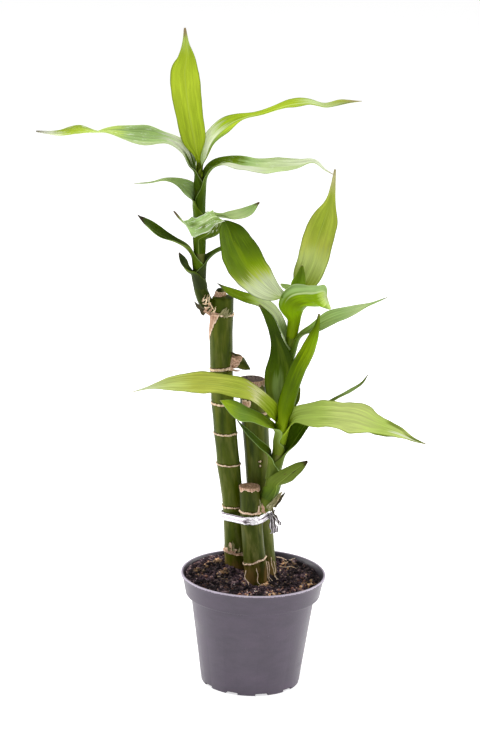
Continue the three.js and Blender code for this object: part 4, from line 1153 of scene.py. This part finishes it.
def soil_material(name, stops):
    mat = Shader(name)
    grain = mat.place()
    mixed = mat.noise(grain, 0.55, 6.0, 0.75)
    fine = mat.noise(grain, 2.4, 4.0, 0.7)
    colour = mat.tone(mat.ramp(mixed, stops), mat.sway(fine, 0.7, 1.25))
    damp = mat.noise(grain, 0.07, 2.0)
    colour = mat.tone(colour, mat.span(damp, 0.42, 0.56, 0.34, 1.45))
    return mat.finish(colour, 0.95, mat.plus(mixed, fine), depth=0.6, Specular_IOR_Level=0.25)


def add_soil():
    floor, body, collar = INNER_WALL[:3]
    side = [
        (AXIS_RADIUS, floor[1] + GAP), (floor[0] - GAP, floor[1] + GAP), (body[0] - GAP, body[1]),
        (collar[0] - GAP, collar[1] + GAP), (SOIL_EDGE - 0.1, SOIL_LEVEL - 1.2),
    ]
    top = [(SOIL_EDGE * (1 - i / (SOIL_RINGS - 0.5)), SOIL_LEVEL) for i in range(SOIL_RINGS)]
    places, faces = turned([*side, *top], SOIL_SIDES)
    below = len(side) * SOIL_SIDES
    places = places[:below] + [(x, y, soil_height(x, y)) for x, y, _ in places[below:]]
    mesh_piece("soil_fine", places, faces, soil_material("soil", DARK_SOIL), "soil")


def crumb(centre, size, flat, seed):
    """Small uneven lump: a rounded block whose points are pushed about. It has no values for join."""
    shape = bmesh.new()
    bmesh.ops.create_icosphere(shape, subdivisions=1, radius=1)
    turn = Matrix.Rotation(seed * 2.4, 3, "Z") @ Matrix.Rotation(0.5 * math.sin(seed * 5.1), 3, "X")
    narrow = 0.55 + 0.35 * math.sin(seed)
    places = []
    for point in shape.verts:
        push = 1 + 0.55 * noise.noise(point.co * 1.3 + Vector((seed, seed * 0.7, 0)))
        place = point.co * push
        place = turn @ Vector((place.x, place.y * narrow, place.z * flat))
        places.append(centre + place * size)
    faces = [tuple(corner.index for corner in face.verts) for face in shape.faces]
    shape.free()
    return places, faces, []


def clear_of_canes(x, y, margin):
    """Whether a point on the soil is further than a margin from every cane."""
    for line in CANES.values():
        _, cx, cy, r = row_at(line, 0, SOIL_LEVEL)
        if math.hypot(x - cx, y - cy) < r + margin:
            return False
    return True


def add_crumbs():
    """Bark and peat crumbs, and white perlite, strewn over the soil."""
    rng = random.Random(CRUMB_SEED)
    for name, (count, sizes, flat, stops) in CRUMB_KINDS.items():
        parts = []
        while len(parts) < count:
            x, y = rng.uniform(-SOIL_EDGE, SOIL_EDGE), rng.uniform(-SOIL_EDGE, SOIL_EDGE)
            clumped = name == "crumbs_tan" and len(parts) < count * CLUMPED_SHARE
            if clumped:
                middle_x, middle_y, spread = CLUMPS[len(parts) % len(CLUMPS)]
                x, y = rng.gauss(middle_x, spread), rng.gauss(middle_y, spread)
            size = rng.uniform(*sizes) * (CLUMPED_GROWTH if clumped else 1)
            if math.hypot(x, y) > SOIL_EDGE - CRUMB_CLEARANCE:
                continue
            seed = rng.uniform(0, 40)
            if clear_of_canes(x, y, size):
                centre = Vector((x, y, soil_height(x, y) + size * flat * CRUMB_RISE))
                parts.append(crumb(centre, size, flat, seed))
        places, faces, _ = join(parts)
        mesh_piece(name, places, faces, soil_material(name, stops), "soil", replaced=False)


# Tie

TIE_LEVEL = 107.9
TIE_WIDTH = 5.0
TIE_THICKNESS = 0.8
TIE_TILT = {"front": 3.2, "right": 4.2}
TIE_COLUMNS = 260

# Section of the folded strip: height as a share of its width, and how far out as a share of its thickness
TIE_SECTION = [(-0.5, 0.5), (-0.5, 0.75), (-0.4, 0.95), (-0.25, 1.0), (-0.1, 0.9), (-0.02, 0.6),
               (0.06, 0.92), (0.2, 1.0), (0.36, 0.98), (0.5, 0.75), (0.5, 0.5), (0.25, 0.42), (0.0, 0.42),
               (-0.25, 0.42)]

# Ribbons of the twisted end and its tails: x, y, z and half width
TIE_ENDS = [
    [[8.8, 0.2, 109.4, 1.1], [9.6, -1.4, 106.6, 1.5], [10.6, -2.0, 101.6, 1.7], [11.4, -2.2, 97.2, 1.5]],
    [[9.4, 0.2, 109.2, 1.1], [11.0, -1.2, 106.4, 1.4], [12.6, -1.9, 101.8, 1.6], [13.8, -2.4, 98.0, 1.3]],
    [[9.6, 0.2, 109.0, 1.0], [12.2, -1.0, 107.8, 1.4], [14.4, -1.5, 105.4, 1.5], [15.2, -2.0, 102.2, 1.2]],
    [[9.5, 0.4, 108.6, 1.0], [11.0, -1.0, 110.0, 1.1], [12.4, -1.0, 111.8, 0.9]],
]
TIE_END_STEP = 0.35


def twist_material():
    """Ends of the foil strip, in dark and bright stripes that are the painted shade and reflections of their
    tight folds.
    """
    mat = Shader("twist")
    swing = mat.plus(mat.times(mat.attribute("across"), 5.5), mat.times(mat.attribute("along"), 7.0))
    colour = mat.ramp(mat.span(mat.math("SINE", swing), -1.0, 1.0),
                      [(0.44, (44, 32, 36)), (0.58, (112, 96, 102)), (0.7, (240, 234, 240))])
    return mat.finish(colour, 0.35, Metallic=0.1)


def foil_material():
    """Silver foil with long creases along the strip, their dark and bright reflections painted into its
    colour.
    """
    mat = Shader("foil")
    grain = mat.grain()
    folds = mat.fibres(grain, (0.08, 0.8, 1.0), 3.0, 0.55)
    fine = mat.fibres(grain, (0.16, 1.8, 1.0), 3.0, 0.6)
    # Painted reflections: the creases' dark and bright colour, and the darker fine marks, stand in for what
    # the shiny foil reflects
    colour = mat.ramp(folds, [(0.35, (74, 62, 68)), (0.42, (170, 160, 168)), (0.52, (246, 243, 248))])
    colour = mat.tone(colour, mat.span(fine, 0.32, 0.58, 0.62, 1.08))
    height = mat.plus(folds, mat.times(fine, 0.4))
    return mat.finish(colour, mat.sway(fine, 0.2, 0.36), height, depth=0.6, Metallic=0.75)


def add_tie():
    """The foil strip round the canes, in two lengthwise folds, and its twisted ends."""
    circles = [row_at(line, 0, TIE_LEVEL)[1:] for line in CANES.values()]
    tilt = (Matrix.Rotation(math.radians(-TIE_TILT["front"]), 3, "X")
            @ Matrix.Rotation(math.radians(-TIE_TILT["right"]), 3, "Y"))
    sides = len(TIE_SECTION)
    places, grains = [], []
    for turn in turns(TIE_COLUMNS):
        way = Vector((math.cos(turn), math.sin(turn), 0))
        x, y, r = max(circles, key=lambda row: row[0] * way.x + row[1] * way.y + row[2])
        for height, out in TIE_SECTION:
            fold = waver(way.x * 4, way.y * 4, height * 3)
            edge = 1 + 0.16 * waver(way.x * 3, way.y * 3, 5 if height > 0 else 9)
            place = Vector((x, y, 0)) + way * (r + 2 * GAP + TIE_THICKNESS * (out - 0.3) + 0.22 * fold)
            place.z = height * TIE_WIDTH * edge
            places.append(tilt @ place + Vector((0, 0, TIE_LEVEL)))
            grains.append((turn * 16, height * TIE_WIDTH, out))
    faces = ring_faces(TIE_COLUMNS, sides)
    last = (TIE_COLUMNS - 1) * sides
    for k in range(sides):
        faces.append((last + k, last + (k + 1) % sides, (k + 1) % sides, k))
    mesh_piece("tie_foil", places, faces, foil_material(), "tie", {"grain": grains})
    right = Vector((1, 0, 0))
    parts, along_at, across_at = [], [], []
    for number, rows in enumerate(TIE_ENDS):
        ribbon = []
        for i, row in enumerate(smooth_rows(rows, TIE_END_STEP)):
            ribbon.append([*row, 40 * math.sin(0.35 * i + number), 60])
        places, faces, values = blade_mesh(ribbon, right, number, ripple=0.2, thickness=THIN_STRIP)
        parts.append((places, faces, []))
        along_at += values["along"]
        across_at += values["across"]
    places, faces, _ = join(parts)
    mesh_piece("tie_ends", places, faces, twist_material(), "tie",
               {"along": along_at, "across": across_at}, replaced=False)


# Dried scraps and roots

# Scraps: where each starts and ends, its half width, how far it bulges, and its look. They are the torn
# collars of the tall cane, the bracts at the feet of two shoots and the shards at a low ring.
SCRAPS = [
    ((-36.0, -1.4, 243.6), (-34.2, -2.6, 248.4), 0.55, 1.2, "curl"),
    ((-35.4, -2.0, 244.6), (-31.2, -3.4, 247.4), 0.5, 1.6, "curl"),
    ((-34.0, -2.4, 242.0), (-32.6, -3.0, 248.6), 0.6, 1.8, "curl"),
    ((-32.0, -3.0, 241.6), (-31.6, -3.6, 249.2), 0.6, 1.2, "curl"),
    ((-35.6, -1.4, 242.2), (-30.6, -3.6, 243.6), 0.5, 1.4, "curl"),
    ((-34.8, -1.6, 240.0), (-29.8, -3.6, 241.2), 0.6, 1.6, "curl"),
    ((-31.2, -3.2, 243.8), (-28.6, -3.9, 238.6), 0.55, 1.4, "curl"),
    ((-33.8, -1.8, 238.4), (-31.2, -3.4, 242.6), 0.9, 0.8, "paper"),
    ((-32.2, -2.2, 236.6), (-29.4, -3.8, 241.6), 1.0, 0.8, "paper"),
    ((-35.4, -0.8, 238.6), (-30.2, -3.4, 235.0), 1.0, 0.6, "paper"),
    ((-31.6, -2.6, 236.2), (-24.6, -4.4, 236.8), 0.9, 0.4, "paper"),
    ((-29.0, -3.6, 237.6), (-27.4, -4.0, 241.4), 0.7, 0.6, "curl"),
    ((-25.0, -4.3, 235.6), (-20.8, -4.4, 241.2), 1.5, 0.3, "husk"),
    ((-23.0, -4.5, 235.2), (-19.6, -4.0, 240.0), 1.6, 0.3, "husk"),
    ((-21.4, -4.4, 235.0), (-18.4, -3.0, 237.8), 1.2, 0.3, "husk"),
    ((-33.8, -0.8, 236.2), (-41.0, 0.2, 243.2), 2.2, 0.9, "bract"),
    ((-17.8, -0.8, 211.4), (-11.0, 0.6, 209.8), 0.9, 0.7, "bract"),
    ((-17.2, -2.2, 208.8), (-11.8, -1.6, 206.6), 1.0, 0.5, "paper"),
    ((-17.6, -2.6, 201.4), (-11.0, -2.4, 200.8), 0.8, 0.4, "paper"),
    ((-12.8, 0.0, 84.0), (-13.4, -0.4, 91.0), 1.1, 0.4, "husk"),
    ((-15.4, 0.8, 83.6), (-16.0, 0.6, 88.6), 0.9, 0.4, "husk"),
    ((-9.6, 0.4, 83.0), (-8.8, 0.6, 87.0), 0.7, 0.3, "husk"),
    ((-17.6, 2.4, 83.4), (-11.6, 0.0, 82.0), 0.9, 0.6, "paper"),
    ((-12.6, -0.2, 82.2), (-6.4, 1.2, 81.2), 0.9, 0.6, "paper"),
    ((-7.2, 1.0, 82.0), (-4.6, 0.4, 79.0), 0.7, 0.6, "curl"),
    ((-6.6, 1.0, 80.8), (-3.8, 0.2, 80.2), 0.5, 0.6, "curl"),
    ((4.2, -10.9, 114.6), (2.4, -11.0, 121.8), 1.0, 0.4, "husk"),
    ((5.2, -11.2, 113.6), (4.0, -11.4, 119.4), 1.2, 0.5, "paper"),
    ((3.4, -10.8, 116.0), (6.8, -12.0, 112.8), 1.1, 0.5, "paper"),
    ((8.0, -12.0, 115.6), (15.8, -13.0, 127.8), 2.3, 0.6, "husk"),
    ((9.6, -11.8, 116.0), (17.0, -12.6, 128.8), 0.8, 0.8, "curl"),
    ((11.0, -11.8, 117.4), (18.0, -12.0, 127.4), 1.7, 0.8, "bract"),
    ((9.8, -11.4, 116.4), (12.0, -11.8, 112.4), 0.8, 0.3, "bract"),
    ((-4.4, 0.4, 172.4), (3.4, 0.2, 171.8), 0.8, 0.4, "paper"),
    ((-8.6, 1.2, 173.2), (-3.4, 0.2, 172.6), 0.7, 0.4, "curl"),
]
SCRAP_STEPS = 9
SCRAP_LEAST = 0.15

# Dark, middle and light colour of dried fibres, and their places in the noise
FIBRE_PLACES = (0.34, 0.5, 0.66)
SCRAP_TINTS = {
    "paper": ((132, 98, 78), (186, 150, 124), (226, 198, 172)),
    "curl": ((176, 142, 108), (222, 196, 160), (246, 232, 206)),
    "husk": ((92, 88, 52), (134, 130, 90), (186, 180, 146)),
    "bract": ((40, 38, 22), (70, 66, 44), (110, 102, 76)),
}
ROOT_TINTS = ((206, 168, 136), (234, 208, 180), (250, 236, 218))

# Thin roots that leave the canes and lie on the soil
ROOTS = [
    [(1.2, -10.0, 80.6), (1.9, -11.2, 76.5), (2.8, -11.0, 72.0), (3.0, -12.4, 68.2), (4.5, -13.0, 66.8)],
    [(-4.6, -8.6, 74.5), (-5.2, -10.0, 71.0), (-3.4, -12.4, 68.4), (-2.6, -14.0, 67.0)],
    [(7.4, -5.0, 80.2), (8.6, -7.2, 76.0), (8.8, -7.4, 71.6), (10.4, -8.4, 67.6)],
    [(8.8, -3.8, 79.0), (10.0, -5.0, 74.4), (9.6, -5.4, 70.4), (12.0, -6.4, 67.4)],
    [(10.6, 4.4, 79.4), (11.6, 1.0, 75.0), (13.0, -1.4, 71.0), (14.6, -3.6, 67.4)],
    [(12.4, 5.4, 76.4), (13.8, 2.4, 72.0), (13.4, -1.6, 69.0), (16.0, -4.0, 67.2)],
    [(14.2, 11.6, 77.0), (18.0, 20.0, 73.6), (22.0, 28.0, 69.4), (26.0, 33.0, 69.0), (28.0, 39.0, 69.4)],
    [(16.0, 16.0, 69.4), (20.0, 14.0, 69.6), (24.0, 17.0, 69.0), (27.0, 15.0, 68.6)],
    [(-24.0, -4.0, 68.8), (-21.0, -6.0, 69.2), (-18.0, -5.0, 68.8)],
]
ROOT_RADIUS = 0.25
ROOT_SIDES = 8
ROOT_STEP = 0.7


def scrap_material(name, tints):
    """Dried sheath or root: fibrous, with broad stains."""
    mat = Shader(name)
    grain = mat.grain()
    fibre = mat.fibres(grain, (2.6, 0.25, 1.0), 4.0, 0.7)
    stain = mat.noise(grain, 0.7)
    colour = mat.ramp(fibre, list(zip(FIBRE_PLACES, tints)))
    colour = mat.tone(colour, mat.sway(stain, 0.7, 1.2))
    return mat.finish(colour, 0.8, fibre, depth=0.4, Specular_IOR_Level=0.25)


def scrap_mesh(number, start, end, half, bulge):
    """Torn strip from start to end, bulged to the front, narrower towards its end and turned unevenly."""
    start, end = Vector(start), Vector(end)
    along = (end - start).normalized()
    out = square_to(Vector((0, -1, 0)), along)
    rows = []
    for i in range(SCRAP_STEPS + 1):
        t = i / SCRAP_STEPS
        wander = Vector((waver(t * 3, number, 0), 0, waver(0, t * 3, number)))
        point = start.lerp(end, t) + out * bulge * math.sin(math.pi * t) + wander * 0.5
        width = half * (0.85 + 0.5 * waver(number, t * 4, 3)) * (1 - t ** 3)
        rows.append([*point, max(SCRAP_LEAST, width), 30 * math.sin(number * 2.3 + 2 * t), 30])
    places, faces, values = blade_mesh(rows, out.cross(along), number, thickness=THIN_STRIP)
    return places, faces, values["grain"]


def add_scraps():
    for kind, tints in SCRAP_TINTS.items():
        parts = []
        for number, (*measures, look) in enumerate(SCRAPS):
            if look == kind:
                parts.append(scrap_mesh(number, *measures))
        places, faces, grains = join(parts)
        mesh_piece("scraps_" + kind, places, faces, scrap_material(kind, tints), "cane_tall",
                   {"grain": grains}, replaced=False)


def add_roots():
    parts = []
    for line in ROOTS:
        last = len(line) - 1
        rows = [[*point, ROOT_RADIUS * (1.15 - 0.5 * i / last)] for i, point in enumerate(line)]
        fine = smooth_rows(rows, ROOT_STEP)
        for i, row in enumerate(fine):
            row[0] += 0.14 * math.sin(i * 0.7)
            row[2] += 0.08 * math.cos(i * 1.1)
        parts.append(tube(fine, ROOT_SIDES, rough=0.25, grain=0.2))
    places, faces, grains = join(parts)
    mesh_piece("roots", places, faces, scrap_material("root", ROOT_TINTS), "cane_short",
               {"grain": grains}, replaced=False)


add_camera()
add_floor()
add_lights()
add_pot()
add_soil()
add_crumbs()
for number, name in enumerate(CANES):
    add_cane(name, number)
add_shoots()
add_growths()
add_scraps()
add_roots()
add_leaves()
add_tie()
